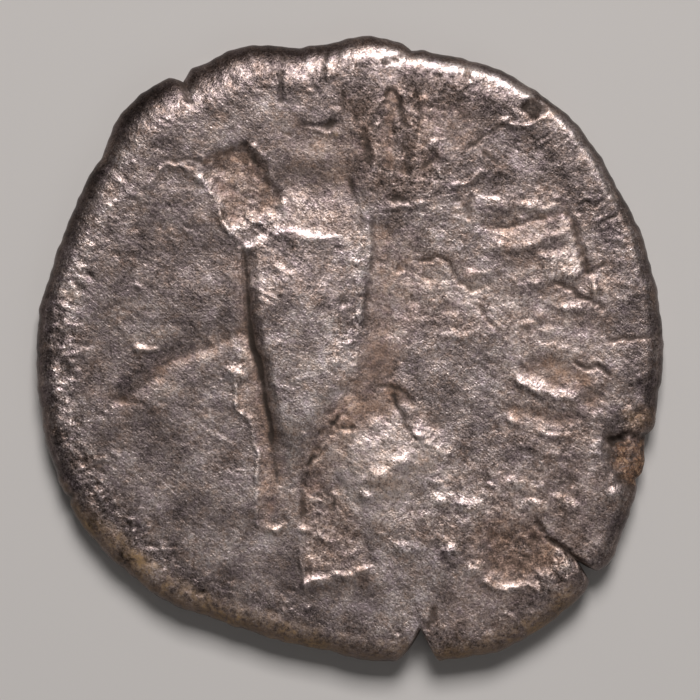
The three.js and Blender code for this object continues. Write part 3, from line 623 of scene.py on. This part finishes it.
RIM_CRACKS = [  # path, width, depth
    ([(-1.8, 8.5), (-1.95, 8.0), (-1.95, 7.1)], 0.09, 0.04),
    ([(-0.7, 8.45), (-0.75, 8.1), (-0.7, 7.7)], 0.08, 0.03),
    ([(1.72, 8.66), (1.4, 8.45), (1.0, 8.2)], 0.1, 0.05), ([(3.5, 8.1), (3.4, 7.9)], 0.12, 0.05),
    ([(-7.95, -4.15), (-8.1, -4.25)], 0.16, 0.1),
]


def add_rim():
    fall = 0.016 + 0.026 * towards(130)
    put(..., fall * (1 - ease(EDGE_GAP, 0.2, 1.35)), relief=-1)
    for path, width, depth in RIM_CRACKS:
        crack(path, width, depth, 0.8)
    spot(-3.25, 7.65, 0.34, 0.24, 15, relief=-0.05)
    spot(-1.4, 6.5, 0.5, 0.36, -40, relief=-0.02, dirt=0.6, tone=-0.12)
    lip([(-1.75, 8.2), (-1.8, 7.7), (-1.75, 7.2)], 0.16, 0.1, relief=0.02, tone=0.14)
    area([(4.95, 7.0), (5.2, 7.2), (5.45, 7.25), (5.72, 6.95), (5.5, 6.85), (5.35, 6.62), (5.15, 6.85)], 0.14,
         relief=-0.09, grime=0.7, tone=-0.3, rough=1.4)
    for x, y in [(5.05, 6.95), (5.2, 7.1), (5.45, 7.0), (5.3, 6.75), (5.6, 6.85)]:
        spot(x, y, 0.14, 0.09, 40, relief=-0.05, grime=0.8)
    lip([(4.4, 6.56), (4.82, 6.44), (5.24, 6.44), (5.55, 6.67)], 0.13, 0.2, relief=0.05, tone=0.2)
    lip([(-8.85, 0.35), (-8.0, -0.05), (-7.5, -0.1)], 0.16, 0.45, relief=0.025, tone=0.08)
    lip([(-7.8, -4.4), (-7.4, -4.4)], 0.12, 0.2, relief=0.04, tone=0.15)
    band = ease(EDGE_GAP, 0.15, 0.4) * (1 - ease(EDGE_GAP, 0.9, 1.5))
    put(..., band * towards(172) ** 2, rough=0.7, tone=-0.02)
    put(..., band * towards(235), rough=0.6, tone=-0.1)
    put(..., band * towards(-30), tone=-0.14)
    # pale worn band along the left
    stroke([(-6.96, 4.08), (-7.48, 3.0), (-7.86, 2.17), (-7.95, 1.39), (-8.11, 0.63)], 0.36,
           relief=0.012, tone=0.2, rough=-0.3)
    # painted highlight: the shoulder on the side facing the key light is made lighter, and also a little
    # smoother
    worn = shoulder_band(0.7, 0.5) * towards(62) ** 3
    put(..., worn, tone=0.3, rough=-0.1)
    wide = bell(np.abs(turn_to(59, DEG)) / 11) * (1 - ease(EDGE_GAP, 0.4, 0.9))
    put(..., wide, relief=-0.03, tone=0.06)
    dull = shoulder_band(0.75, 0.75) * bell(np.abs(turn_to(103, DEG)) / 38)
    put(..., dull, tone=-0.26, rough=0.3)
    inner = bell(np.abs(EDGE_GAP - 1.25) / 0.75) * towards(66) ** 2
    put(..., inner, tone=-0.2)
    # broken right edge
    area([(7.55, -2.6), (8.5, -2.5), (8.6, -3.6), (8.0, -3.9), (7.6, -3.4)], 0.35,
         relief=-0.12, rust=0.95, rough=1.6)
    stroke([(7.48, -2.5), (7.42, -3.0), (7.55, -3.5), (7.95, -3.95)], 0.3, relief=-0.08, grime=0.9)
    area([(7.9, -1.8), (8.8, -1.6), (8.8, -2.4), (8.0, -2.4)], 0.4, dirt=0.8, ochre=0.35, grime=0.25,
         rough=1.4)
    crumble([(7.5, -2.5), (8.6, -2.4), (8.7, -3.7), (8.0, -4.0), (7.5, -3.5)], 120, 18, 0.12, relief=0.1,
            rust=0.6, grime=-0.5)
    crumble([(7.7, -1.6), (8.9, -1.5), (8.8, -2.5), (7.7, -2.5)], 60, 19, 0.12, relief=0.038, grime=-0.5,
            ochre=0.4)
    crumble([(-7.9, -4.6), (-7.3, -4.6), (-5.0, -6.6), (-2.6, -7.6), (-2.6, -8.3), (-5.0, -7.4),
             (-7.2, -5.9)], 240, 20, 0.12, relief=0.05, ochre=0.5, grime=-0.5, tone=0.15)
    crumble([(-8.4, -3.0), (-7.5, -3.0), (-6.4, -4.6), (-6.0, -5.2), (-7.0, -5.6), (-8.0, -4.6)], 150, 23,
            0.17, relief=0.036, tone=0.2, grime=-0.3)
    crumble([(-6.4, -4.9), (-5.6, -5.0), (-4.0, -6.3), (-1.2, -7.2), (-1.2, -8.2), (-4.4, -7.4),
             (-6.4, -6.1)], 230, 24, 0.17, relief=0.032, tone=0.16, grime=-0.3)
    crumble([(2.6, -8.0), (5.0, -7.3), (6.2, -7.0), (6.0, -7.6), (4.2, -8.6), (2.7, -8.9)], 150, 25, 0.14,
            relief=0.022, ochre=0.4, grime=-0.3)
    spot(7.56, -4.15, 0.26, relief=0.07, tone=0.25)


def add_scratches():
    for x0, y0, x1, y1 in [
            (-4.0, -1.7, -3.6, -1.95), (-3.9, -3.1, -3.0, -3.5), (-3.95, -3.22, -3.1, -3.62),
            (-4.2, -2.2, -3.3, -2.75), (-2.7, 1.75, -2.1, 1.45), (-2.75, 1.58, -2.2, 1.28),
            (-8.0, 1.9, -7.75, 1.7), (-8.3, 0.9, -7.95, 0.65), (-6.6, 3.2, -6.1, 2.9),
            (-5.2, 4.1, -4.5, 3.6), (-5.0, 3.7, -4.3, 3.3), (-5.5, 3.5, -4.9, 3.1)]:
        stroke([(x0, y0), (x1, y1)], 0.07, relief=0.008, tone=0.08)
        stroke([(x0, y0 + 0.09), (x1, y1 + 0.09)], 0.07, relief=-0.006, tone=-0.06)
    draw = np.random.RandomState(48)
    for _ in range(420):
        x, y = draw.uniform(-8.6, 8.6, 2)
        angle, long = math.radians(draw.normal(-38, 35)), draw.uniform(0.08, 0.3)
        size = draw.uniform(-1, 1)
        if math.hypot(x, y) < 8.4:
            tip = (x + long * math.cos(angle), y + long * math.sin(angle))
            stroke([(x, y), tip], draw.uniform(0.07, 0.12), relief=0.018 * size, tone=0.12 * size)


def add_rim_flow():
    """Short lines across the rim, where the metal was stretched."""
    draw = np.random.RandomState(49)
    for _ in range(520):
        deg, gap, long = draw.uniform(20, 215), draw.uniform(0.35, 1.3), draw.uniform(0.15, 0.45)
        size, lean = draw.uniform(-1, 1), math.radians(draw.normal(-12, 12))
        angle = math.radians(deg)
        r = float(smooth_radius(np.array([deg]))[0]) - gap
        x, y = r * math.cos(angle), r * math.sin(angle)
        tip = (x + long * math.cos(angle + lean), y + long * math.sin(angle + lean))
        stroke([(x, y), tip], draw.uniform(0.07, 0.1), relief=0.014 * size, tone=0.14 * size)


TONED = [  # x, y, reach along both, lighter or darker
    (3.8, 5.2, 2.1, 1.65, -0.34), (1.5, -7.7, 1.65, 1.05, 0.32), (3.6, -1.6, 1.05, 1.05, -0.16),
    (3.5, -7.0, 1.05, 0.75, -0.2), (5.0, 4.5, 1.05, 0.75, 0.14), (-0.4, 2.6, 0.75, 0.75, 0.12),
    (-0.6, 4.7, 1.35, 1.05, -0.14), (-2.9, 7.0, 1.8, 1.2, 0.2), (-1.5, 3.75, 1.35, 0.75, 0.26),
    (2.6, 2.3, 2.25, 1.8, 0.24), (-6.8, 3.6, 1.35, 1.35, 0.15), (-5.6, 2.5, 1.65, 1.35, -0.16),
    (-4.9, 0.2, 2.1, 1.35, 0.2), (-3.9, -2.1, 1.95, 2.25, 0.16), (-6.8, 1.0, 1.35, 1.8, 0.1),
    (6.9, 0.2, 1.5, 1.35, 0.1), (0.6, -4.0, 1.5, 1.35, 0.38), (2.2, -4.8, 1.8, 1.2, 0.13),
    (6.9, -1.6, 1.8, 1.35, -0.3), (-1.6, -5.1, 2.1, 1.5, 0.18), (-2.6, 1.6, 0.75, 0.9, 0.22),
]


def add_toning():
    """Broad lighter and darker patches of the worn metal."""
    stroke([(1.8, 7.7), (2.7, 7.5), (3.7, 6.95)], 0.75, tone=-0.4, dirt=0.2)
    for x, y, a, b, tone in TONED:
        spot(x, y, a, b, tone=tone)


def crinkle(cell, seed, turn):
    """Creased noise between -1 and 1, like crumpled foil."""
    return np.clip(1 - 3 * np.abs(noise(cell, seed, 1.3, turn)), -1, 1)


FACET_CELLS = 64
FACET_SHIFT = (41.3, 17.9)


def facets(cell, seed, tilt):
    """Small flat faces that lean at random, like cleaved or crumpled metal."""
    table = np.random.RandomState(seed).uniform(-1, 1, (5, FACET_CELLS, FACET_CELLS))
    u, v = WX / cell + FACET_SHIFT[0], WY / cell + FACET_SHIFT[1]
    iu, iv = np.floor(u).astype(int), np.floor(v).astype(int)
    best, height = np.full(X.shape, 1e9), np.zeros_like(X)
    for di in (-1, 0, 1):
        for dj in (-1, 0, 1):
            i, j = (iu + di) % FACET_CELLS, (iv + dj) % FACET_CELLS
            du = u - (iu + di + 0.5 + 0.45 * table[0, j, i])
            dv = v - (iv + dj + 0.5 + 0.45 * table[1, j, i])
            near = du * du + dv * dv < best
            best = np.where(near, du * du + dv * dv, best)
            lean = du * table[2, j, i] + dv * table[3, j, i] + 0.3 * table[4, j, i]
            height = np.where(near, lean * tilt * cell, height)
    return height


def add_grain():
    """Overall unevenness: smooth at the left, rougher at the right and along the rim."""
    rough = 0.65 * LAYERS["rough"] + 0.4 + 0.25 * ease(X, -1.0, 2.5) - 0.2 * ease(-Y, 5.6, 6.8)
    LAYERS["rough"][:] = np.clip(rough, 0.15, 2.5)
    put(..., 0.025 * noise(2.6, 41) + 0.014 * noise(1.0, 42, turn=25), relief=1)
    creases = 0.005 * crinkle(0.55, 43, 31) + 0.005 * crinkle(0.3, 44, -28) + 0.004 * crinkle(0.17, 45, 57)
    creases += 0.005 * noise(0.12, 46, 2.5, -38)
    put(..., LAYERS["rough"] * creases, relief=1)
    broken = ease(LAYERS["rough"], 0.8, 1.4)
    put(..., broken * facets(0.45, 47, 0.052), relief=1)


def add_stains():
    """Brown dirt in what lies deep, ochre earth along the lower rim, mottled toning."""
    relief = LAYERS["relief"]
    cavity = np.clip((blur(relief, 0.3) - relief) / 0.05, -1.5, 1.5)
    put(..., np.maximum(0, cavity), dirt=0.3)
    stroke([(-7.45, -4.85), (-6.9, -5.4), (-6.35, -5.9), (-5.7, -6.4), (-5.1, -6.8), (-4.4, -7.15),
            (-3.5, -7.5), (-2.9, -7.75), (-2.0, -8.05), (-1.0, -8.3)], 0.55, ochre=0.9)
    stroke([(2.6, -8.75), (3.3, -8.7), (4.0, -8.5), (5.3, -7.9), (5.9, -7.6), (6.3, -7.0)], 0.5, ochre=0.75)
    stroke([(-7.6, -4.95), (-8.2, -3.9)], 0.35, ochre=0.5)
    stroke([(-1.0, -8.4), (0.3, -8.6), (1.5, -8.6)], 0.45, ochre=0.5)
    mottle = 0.1 * noise(1.6, 51, turn=20) + 0.15 * noise(0.75, 52, turn=40) + 0.14 * noise(0.3, 53, turn=65)
    put(..., 0.47 + 0.06 * ease(X, 0, 2.5) + mottle - 0.08 * cavity, tone=1)
    LAYERS["tone"][:] = np.clip(LAYERS["tone"], 0.05, 0.84)
    for name in SOILS:
        LAYERS[name] *= 0.8 + 0.3 * noise(0.35, 54, turn=10) + 0.3 * noise(0.15, 55, turn=33)


def build_relief():
    add_body()
    add_pocket()
    add_arm()
    add_bunch()
    add_strokes()
    add_upper_centre()
    add_lower_right()
    add_rough_patch()
    add_rim()
    add_cracks()
    add_scratches()
    add_rim_flow()
    add_toning()
    add_grain()
    add_stains()


BOSS = [(0.2, 0.3, 3.3, 3.9), (-1.0, -0.9, 2.7, 2.6), (1.2, 1.3, 2.6, 2.9)]


def hidden_relief():
    """Worn lower face: a plain flat boss inside a worn rim, softly pitted."""
    boss = np.zeros_like(X)
    for x, y, a, b in BOSS:
        boss = np.maximum(boss, ease(1 - np.hypot((WX - x) / a, (WY - y) / b), 0, 0.3))
    rim_start = smooth_radius(DEG) - FOOT
    rim = ease(np.hypot(X, Y), rim_start - HIDDEN_RIM - 0.6, rim_start - HIDDEN_RIM)
    low = HIDDEN_DEPTH * (1 - np.maximum(boss, rim))
    low += 0.016 * (1 + noise(2.4, 61)) + 0.012 * (1 + noise(0.9, 62)) + 0.01 * (1 + noise(0.35, 63, 1.6, 30))
    low += 0.05 * np.maximum(0, noise(0.6, 64) - 0.5) + 0.03 * np.maximum(0, noise(0.25, 65, 5, -40) - 0.5)
    return np.maximum(0, low - 0.03)


def hidden_stains(low):
    """Dirt left in the lower face's hollows and its mottled toning."""
    deep = ease(low, 0.03, 0.14)
    mottle = 0.12 * noise(1.9, 66) + 0.14 * noise(0.8, 67, turn=30) + 0.1 * noise(0.35, 68, turn=50)
    return {"dirt": 0.6 * deep, "tone": 0.5 - 0.08 * deep + mottle, "rough": 0.35 + 0.3 * deep}


def sample(a, x, y):
    """Value of a grid at points, by straight interpolation."""
    u, v = (x + GRID_HALF) / GRID_STEP, (y + GRID_HALF) / GRID_STEP
    i, j = np.floor(u).astype(int), np.floor(v).astype(int)
    fu, fv = u - i, v - j
    low = a[j, i] * (1 - fu) + a[j, i + 1] * fu
    high = a[j + 1, i] * (1 - fu) + a[j + 1, i + 1] * fu
    return low * (1 - fv) + high * fv


def even(count):
    """Degrees round a ring; a fine ring has a point at every notch's tip, a finer one also beside it."""
    deg = np.arange(max(1, count)) * 360.0 / max(1, count)
    if count > FINE_RING:
        sides = (-1, 0, 1) if count > FINER_RING else (0,)
        for at, *_ in NOTCHES:
            tip = round(at * count / 360)
            for side in sides:
                deg[(tip + side) % count] = at + side * BESIDE_TIP
    return deg


def rim_wander(deg):
    """Small unevenness of the edge, in millimetres."""
    draw = np.random.RandomState(71)
    total = np.zeros_like(deg)
    for waves in RIM_WAVES:
        size = RIM_WANDER / math.sqrt(waves) / len(RIM_WAVES)
        total += size * np.sin(np.radians(deg * waves) + draw.uniform(0, 6.28))
    return total


def ring(deg, share, tilt, width, height):
    """Points of one ring: share of the way to the shoulder, tilt down the shoulder."""
    notch = notch_depth(deg) * ease(share, NOTCH_FROM, 1.0)
    wander = rim_wander(deg) * ease(share, WANDER_FROM, 1.0)
    r = share * (smooth_radius(deg) - width) - notch + wander
    r = r + width * math.sin(math.radians(tilt))
    x, y = r * np.cos(np.radians(deg)), r * np.sin(np.radians(deg))
    z = EDGE_Z + (sample(height, x, y) - EDGE_Z) * math.cos(math.radians(tilt))
    return deg, np.stack([x, y, z, np.full(len(deg), tilt / 90)], axis=1)


def coin_rings(top, bottom):
    """Rings from the middle of the upper face, over the edge, to the middle of the hidden one."""
    edge = even(EDGE_POINTS)
    rings = []
    for k in range(UPPER_RINGS + 1):
        deg = even(UPPER_STEP * k)
        rings.append(ring(deg, k / UPPER_RINGS, 0, shoulder_width(deg), top))
    for k in range(1, UPPER_EDGE_STEPS + 1):
        rings.append(ring(edge, 1, 90 * k / UPPER_EDGE_STEPS, shoulder_width(edge), top))
    for k in range(LOWER_EDGE_STEPS - 1, 0, -1):
        rings.append(ring(edge, 1, 90 * k / LOWER_EDGE_STEPS, foot_width(edge), bottom))
    for k in range(HIDDEN_RINGS, -1, -1):
        deg = edge if k == HIDDEN_RINGS else even(HIDDEN_STEP * k)
        rings.append(ring(deg, k / HIDDEN_RINGS, 0, foot_width(deg), bottom))
    return rings


def zip_rings(a, b, a0, b0, faces):
    """Closes the strip between two rings, always stepping along the one that lags."""
    na, nb = len(a), len(b)
    i = j = 0
    while i < na or j < nb:
        next_a = a[(i + 1) % na] + 360 * ((i + 1) // na)
        next_b = b[(j + 1) % nb] + 360 * ((j + 1) // nb)
        if j < nb and (i >= na or na == 1 or (nb > 1 and next_b <= next_a)):
            faces.append((a0 + i % na, b0 + j % nb, b0 + (j + 1) % nb))
            j += 1
            if na == 1 and j == nb:
                break
        else:
            faces.append((a0 + i % na, b0 + j % nb, a0 + (i + 1) % na))
            i += 1
            if nb == 1 and i == na:
                break


def join_rings(rings):
    points, faces, start = [], [], 0
    for k, (deg, pts) in enumerate(rings):
        if k + 1 < len(rings):
            zip_rings(deg, rings[k + 1][0], start, start + len(deg), faces)
        points.append(pts)
        start += len(deg)
    return np.concatenate(points), faces


def to_frame(points):
    """Sets the coin in the middle of the solid's place, on the table."""
    low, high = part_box("coin")
    middle = (points.min(axis=0) + points.max(axis=0)) / 2
    shift = np.array([(low[0] + high[0]) / 2, (low[1] + high[1]) / 2, 0]) / MM - middle
    shift[2] = -points[:, 2].min()
    return (points + shift) * MM


def add_attribute(mesh, name, values):
    attribute = mesh.attributes.new(name, "FLOAT", "POINT")
    attribute.data.foreach_set("value", values.astype(np.float32))


def paint(mesh, points, tilt, hidden):
    """Gives every point its soils, tone and roughness, and how far it is over the edge, which sets the
    painted shade there.
    """
    upper = np.arange(len(points)) < UPPER_POINTS
    for name in PAINTED:
        above = sample(LAYERS[name], points[:, 0], points[:, 1])
        below = sample(hidden[name], points[:, 0], points[:, 1]) if name in hidden else 0.0
        add_attribute(mesh, name, np.clip(np.where(upper, above, below), 0, 2))
    # edge: share of painted shade on the steep edge, more the further it turns over
    add_attribute(mesh, "edge", np.where(upper, ease(tilt, 0.25, 0.55), ease(tilt, 0.4, 1.1)))


def coin_mesh():
    build_relief()
    hidden = hidden_relief()
    points, faces = join_rings(coin_rings(FIELD_Z + LAYERS["relief"], hidden))
    tilt, points = points[:, 3], points[:, :3]
    mesh = bpy.data.meshes.new("struck_coin")
    mesh.from_pydata(to_frame(points).tolist(), [], faces)
    mesh.update()
    paint(mesh, points, tilt, hidden_stains(hidden))
    mesh.polygons.foreach_set("use_smooth", [True] * len(mesh.polygons))
    return mesh


MID = (0.5, 0.5, 0.5)  # middle of a noise's range


class Nodes:
    """Short form for making a material's nodes."""

    def __init__(self, name):
        self.material = bpy.data.materials.new(name)
        self.material.use_nodes = True
        self.tree = self.material.node_tree
        self.shader = self.tree.nodes["Principled BSDF"]

    def put(self, socket, value):
        if isinstance(value, bpy.types.NodeSocket):
            self.tree.links.new(value, socket)
        else:
            socket.default_value = value

    def add(self, kind, out=0, inputs=(), **settings):
        node = self.tree.nodes.new(kind)
        for key, value in settings.items():
            setattr(node, key, value)
        for key, value in dict(inputs).items():
            self.put(node.inputs[key], value)
        return node.outputs[out]

    def attribute(self, name):
        return self.add("ShaderNodeAttribute", "Fac", attribute_name=name)

    def math(self, operation, a, b=0.0, clamp=False):
        return self.add("ShaderNodeMath", 0, {0: a, 1: b}, operation=operation, use_clamp=clamp)

    def times(self, a, b, clamp=False):
        return self.math("MULTIPLY", a, b, clamp)

    def plus(self, a, b):
        return self.math("ADD", a, b)

    def vector(self, operation, a, b=(0.0, 0.0, 0.0), **inputs):
        return self.add("ShaderNodeVectorMath", 0, {0: a, 1: b, **inputs}, operation=operation)

    def mix(self, factor, a, b, blend="MIX"):
        node = self.tree.nodes.new("ShaderNodeMix")
        node.data_type = "RGBA"
        node.blend_type = blend
        self.put(node.inputs["Factor"], factor)
        self.put(node.inputs[6], a)
        self.put(node.inputs[7], b)
        return node.outputs[2]

    def ramp(self, factor, stops):
        node = self.tree.nodes.new("ShaderNodeValToRGB")
        self.put(node.inputs[0], factor)
        band = node.color_ramp.elements
        while len(band) < len(stops):
            band.new(0.5)
        for element, (place, colour) in zip(band, stops):
            element.position = place
            element.color = colour
        return node.outputs[0]

    def span(self, value, low, high, to_low=0.0, to_high=1.0):
        return self.add("ShaderNodeMapRange", 0, {0: value, 1: low, 2: high, 3: to_low, 4: to_high})

    def grain(self, size, detail=2.0, rough=0.5, turn=0.0, stretch=1.0):
        """Noise of a grain size in millimetres, drawn out along a turned direction."""
        where = self.add("ShaderNodeTexCoord", "Object")
        turned = self.add("ShaderNodeMapping", 0, {"Vector": where, "Rotation": (0, 0, math.radians(turn)),
                                                   "Scale": (stretch, 1, 1)}, vector_type="TEXTURE")
        return self.add("ShaderNodeTexNoise", 0, {"Vector": turned, "Scale": 1 / (size * MM),
                                                  "Detail": detail, "Roughness": rough})

    def creases(self, size):
        """Thin curled ridges, like crumpled foil."""
        where = self.add("ShaderNodeTexCoord", "Object")
        return self.add("ShaderNodeTexNoise", 0, {"Vector": where, "Scale": 1 / (size * MM), "Detail": 2.0,
                                                  "Roughness": 0.6, "Offset": 1.0, "Gain": 2.0},
                        noise_type="RIDGED_MULTIFRACTAL")

    def shards(self, size):
        """Small flat faces that lean at random, and the cells that they fill."""
        where = self.add("ShaderNodeTexCoord", "Object")
        drift = self.add("ShaderNodeTexNoise", "Color", {"Vector": where, "Scale": 1.4 / (size * MM),
                                                         "Detail": 2.0})
        drift = self.vector("SUBTRACT", drift, MID)
        where = self.vector("ADD", where, self.vector("SCALE", drift, Scale=0.8 * size * MM))
        where = self.vector("MULTIPLY", where, (1, 1, 0))
        cells = {"Vector": where, "Scale": 1 / (size * MM), "Randomness": 1.0}
        colour = self.add("ShaderNodeTexVoronoi", "Color", cells, voronoi_dimensions="2D")
        side = self.vector("SUBTRACT", where, colour.node.outputs["Position"])
        lean = self.add("ShaderNodeVectorMath", "Value", {0: side, 1: self.vector("SUBTRACT", colour, MID)},
                        operation="DOT_PRODUCT")
        return self.times(lean, 1 / (size * MM)), cells

    def borders(self, cells):
        """How far it is to the border of a cell."""
        return self.add("ShaderNodeTexVoronoi", "Distance", cells, feature="DISTANCE_TO_EDGE",
                        voronoi_dimensions="2D")


SILVER = [(0.0, (0.05, 0.041, 0.039, 1)), (0.35, (0.21, 0.174, 0.168, 1)),
          (0.65, (0.43, 0.364, 0.35, 1)), (1.0, (0.9, 0.82, 0.8, 1))]  # toning from dark to bright
TINTS = [(0.36, (0.93, 0.88, 0.95, 1)), (0.5, (0.96, 0.935, 0.92, 1)),
         (0.64, (1.0, 0.87, 0.77, 1))]  # violet, grey, tan
BROWN = (0.92, 0.75, 0.63, 1)
DIRT = (0.25, 0.18, 0.14, 1)
# dark dirt and painted shade in cracks, grooves and cell borders
GRIME_AND_SHADE = (0.045, 0.03, 0.023, 1)
OCHRE = (0.36, 0.235, 0.125, 1)
RUST = [(0.4, (0.06, 0.038, 0.026, 1)), (0.5, (0.26, 0.13, 0.07, 1)), (0.6, (0.56, 0.36, 0.23, 1))]
# painted shade: the colour that darkens the steep edge
EDGE_SHADE = (0.22, 0.19, 0.175, 1)
GRAIN_DEPTH = 0.0095  # millimetres of bump for the grain that is too fine for the mesh
POLISHED, SOILED = 0.41, 0.8  # roughness of clean metal and of soil


def toned_silver():
    n = Nodes("toned_silver")
    patches = n.grain(0.7, 3, 0.6)
    fine = n.grain(0.13, 4, 0.65)
    specks = n.grain(0.05, 2, 0.6)
    creases = n.creases(0.2)
    rough = n.attribute("rough")
    sway_and_glints = n.plus(n.span(fine, 0.3, 0.7, -0.22, 0.22), n.span(specks, 0.3, 0.7, -0.3, 0.3))
    sway_and_glints = n.plus(sway_and_glints, n.span(creases, 0.4, 1.6, -0.1, 0.14))
    # painted glints: scattered small bright specks added to the tone
    sway_and_glints = n.plus(sway_and_glints, n.span(n.grain(0.075, 1, 0.5), 0.62, 0.74, 0.0, 0.4))
    sway_and_glints = n.times(sway_and_glints, n.span(rough, 0.0, 1.6, 0.45, 1.35))
    colour = n.ramp(n.plus(n.attribute("tone"), sway_and_glints), SILVER)
    hue = n.plus(n.times(patches, 0.5), n.times(n.grain(0.12, 3, 0.7), 0.5))
    colour = n.mix(1.0, colour, n.ramp(hue, TINTS), "MULTIPLY")
    brown = n.times(n.attribute("dirt"), n.span(fine, 0.35, 0.6, 0.5, 1.2), clamp=True)
    colour = n.mix(brown, colour, n.mix(1.0, colour, BROWN, "MULTIPLY"))
    colour = n.mix(n.times(brown, 0.3), colour, DIRT)
    # painted shade on the steep edge
    dark = n.times(n.attribute("edge"), n.span(fine, 0.3, 0.6, 0.7, 1.0))
    colour = n.mix(dark, colour, EDGE_SHADE, "MULTIPLY")
    earth = n.times(n.attribute("ochre"), n.span(fine, 0.35, 0.6, 0.2, 1.2), clamp=True)
    colour = n.mix(earth, colour, OCHRE)
    decay = n.times(n.attribute("rust"), n.span(specks, 0.3, 0.65, 0.4, 1.2), clamp=True)
    colour = n.mix(decay, colour, n.ramp(n.grain(0.16, 4, 0.75), RUST))
    # grime: dark dirt, partly painted shade, in cracks, grooves and under walls
    shade_and_dark_dirt_share = n.times(n.attribute("grime"), n.span(specks, 0.3, 0.65, 0.7, 1.15), clamp=True)
    colour = n.mix(shade_and_dark_dirt_share, colour, GRIME_AND_SHADE)
    broken = n.span(rough, 0.7, 1.5)
    large, cells = n.shards(0.42)
    small, _ = n.shards(0.17)
    veins = n.times(n.span(n.borders(cells), 0.0, 0.1, 1.0, 0.0), n.span(patches, 0.45, 0.6))
    veins = n.times(veins, n.times(broken, 0.6))
    colour = n.mix(veins, colour, GRIME_AND_SHADE)
    n.put(n.shader.inputs["Base Color"], colour)
    soil = n.math("MAXIMUM", n.math("MAXIMUM", n.times(brown, 0.4), earth), decay)
    soil = n.math("MAXIMUM", n.math("MAXIMUM", soil, shade_and_dark_dirt_share), veins)
    n.put(n.shader.inputs["Metallic"], n.span(soil, 0.0, 1.0, 1.0, 0.1))
    dull = n.plus(n.span(soil, 0.0, 1.0, POLISHED, SOILED), n.span(fine, 0.3, 0.7, 0.08, -0.08))
    n.put(n.shader.inputs["Roughness"], dull)
    streaks = n.grain(0.05, 2, 0.5, turn=-38, stretch=5)
    scuffs = n.grain(0.05, 2, 0.5, turn=60, stretch=4)
    height = n.plus(n.times(specks, 0.9), n.times(streaks, 0.6))
    height = n.plus(height, n.times(scuffs, 0.6))
    height = n.plus(height, n.times(creases, 0.3))
    height = n.times(n.plus(height, fine), n.span(rough, 0.0, 1.6, 0.65, 1.4))
    height = n.math("SUBTRACT", height, veins)
    faces = n.plus(n.times(large, 8.0), n.times(small, 4.5))
    height = n.plus(height, n.times(faces, broken))
    bump = n.add("ShaderNodeBump", 0, {"Strength": 1.0, "Distance": GRAIN_DEPTH * MM, "Height": height})
    n.put(n.shader.inputs["Normal"], bump)
    return n.material


def build_coin():
    coin = bpy.data.objects.new("struck_coin", coin_mesh())
    bpy.context.collection.objects.link(coin)
    coin.data.materials.append(toned_silver())
    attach(coin, "root")
    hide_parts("coin")


FLOOR_HALF = 0.4  # metres
FLOOR_COLOUR = (0.72, 0.705, 0.69, 1)
FLOOR_ROUGHNESS = 0.9


def build_floor():
    mesh = bpy.data.meshes.new("floor")
    corners = [(x * FLOOR_HALF, y * FLOOR_HALF, 0) for x, y in ((-1, -1), (1, -1), (1, 1), (-1, 1))]
    mesh.from_pydata(corners, [], [(0, 1, 2, 3)])
    floor = bpy.data.objects.new("floor", mesh)
    bpy.context.collection.objects.link(floor)
    n = Nodes("pale_floor")
    n.put(n.shader.inputs["Base Color"], FLOOR_COLOUR)
    n.put(n.shader.inputs["Roughness"], FLOOR_ROUGHNESS)
    mesh.materials.append(n.material)


LIGHTS = [  # name, place and size in metres, power, colour
    ("key", (0.015, 0.157, 0.213), 0.1, 0.52, (1.0, 0.96, 0.94)),
    ("fill", (0.05, -0.08, 0.12), 0.12, 0.015, (1.0, 0.97, 0.95)),
]
ROOM_COLOUR = (0.5, 0.48, 0.47, 1)
ROOM_STRENGTH = 0.1


def area_light(name, place, size, power, colour):
    lamp = bpy.data.lights.new(name, "AREA")
    lamp.size = size
    lamp.energy = power
    lamp.color = colour
    light = bpy.data.objects.new(name, lamp)
    bpy.context.collection.objects.link(light)
    light.location = place
    aim = -light.location
    light.rotation_euler = aim.to_track_quat("-Z", "Y").to_euler()


def build_lights():
    for light in LIGHTS:
        area_light(*light)
    world = bpy.data.worlds.new("studio")
    world.use_nodes = True
    background = world.node_tree.nodes["Background"]
    background.inputs["Color"].default_value = ROOM_COLOUR
    background.inputs["Strength"].default_value = ROOM_STRENGTH
    bpy.context.scene.world = world


FRAME_WIDTH = 20.13  # millimetres across the picture
FRAME_SHIFT = -0.043
FOCUS_Z = 1.0  # height of the plane that fills the picture
NEAR_CLIP = 1.0
LENS, SENSOR = 200.0, 36.0


def build_camera():
    lens = bpy.data.cameras.new("camera")
    lens.lens = LENS
    lens.sensor_width = SENSOR
    lens.clip_start = NEAR_CLIP * MM
    camera = bpy.data.objects.new("camera", lens)
    bpy.context.collection.objects.link(camera)
    camera.location = (0, FRAME_SHIFT * MM, (FRAME_WIDTH * LENS / SENSOR + FOCUS_Z) * MM)
    bpy.context.scene.camera = camera


build_coin()
build_floor()
build_lights()
build_camera()
bpy.context.scene.view_settings.view_transform = "Standard"
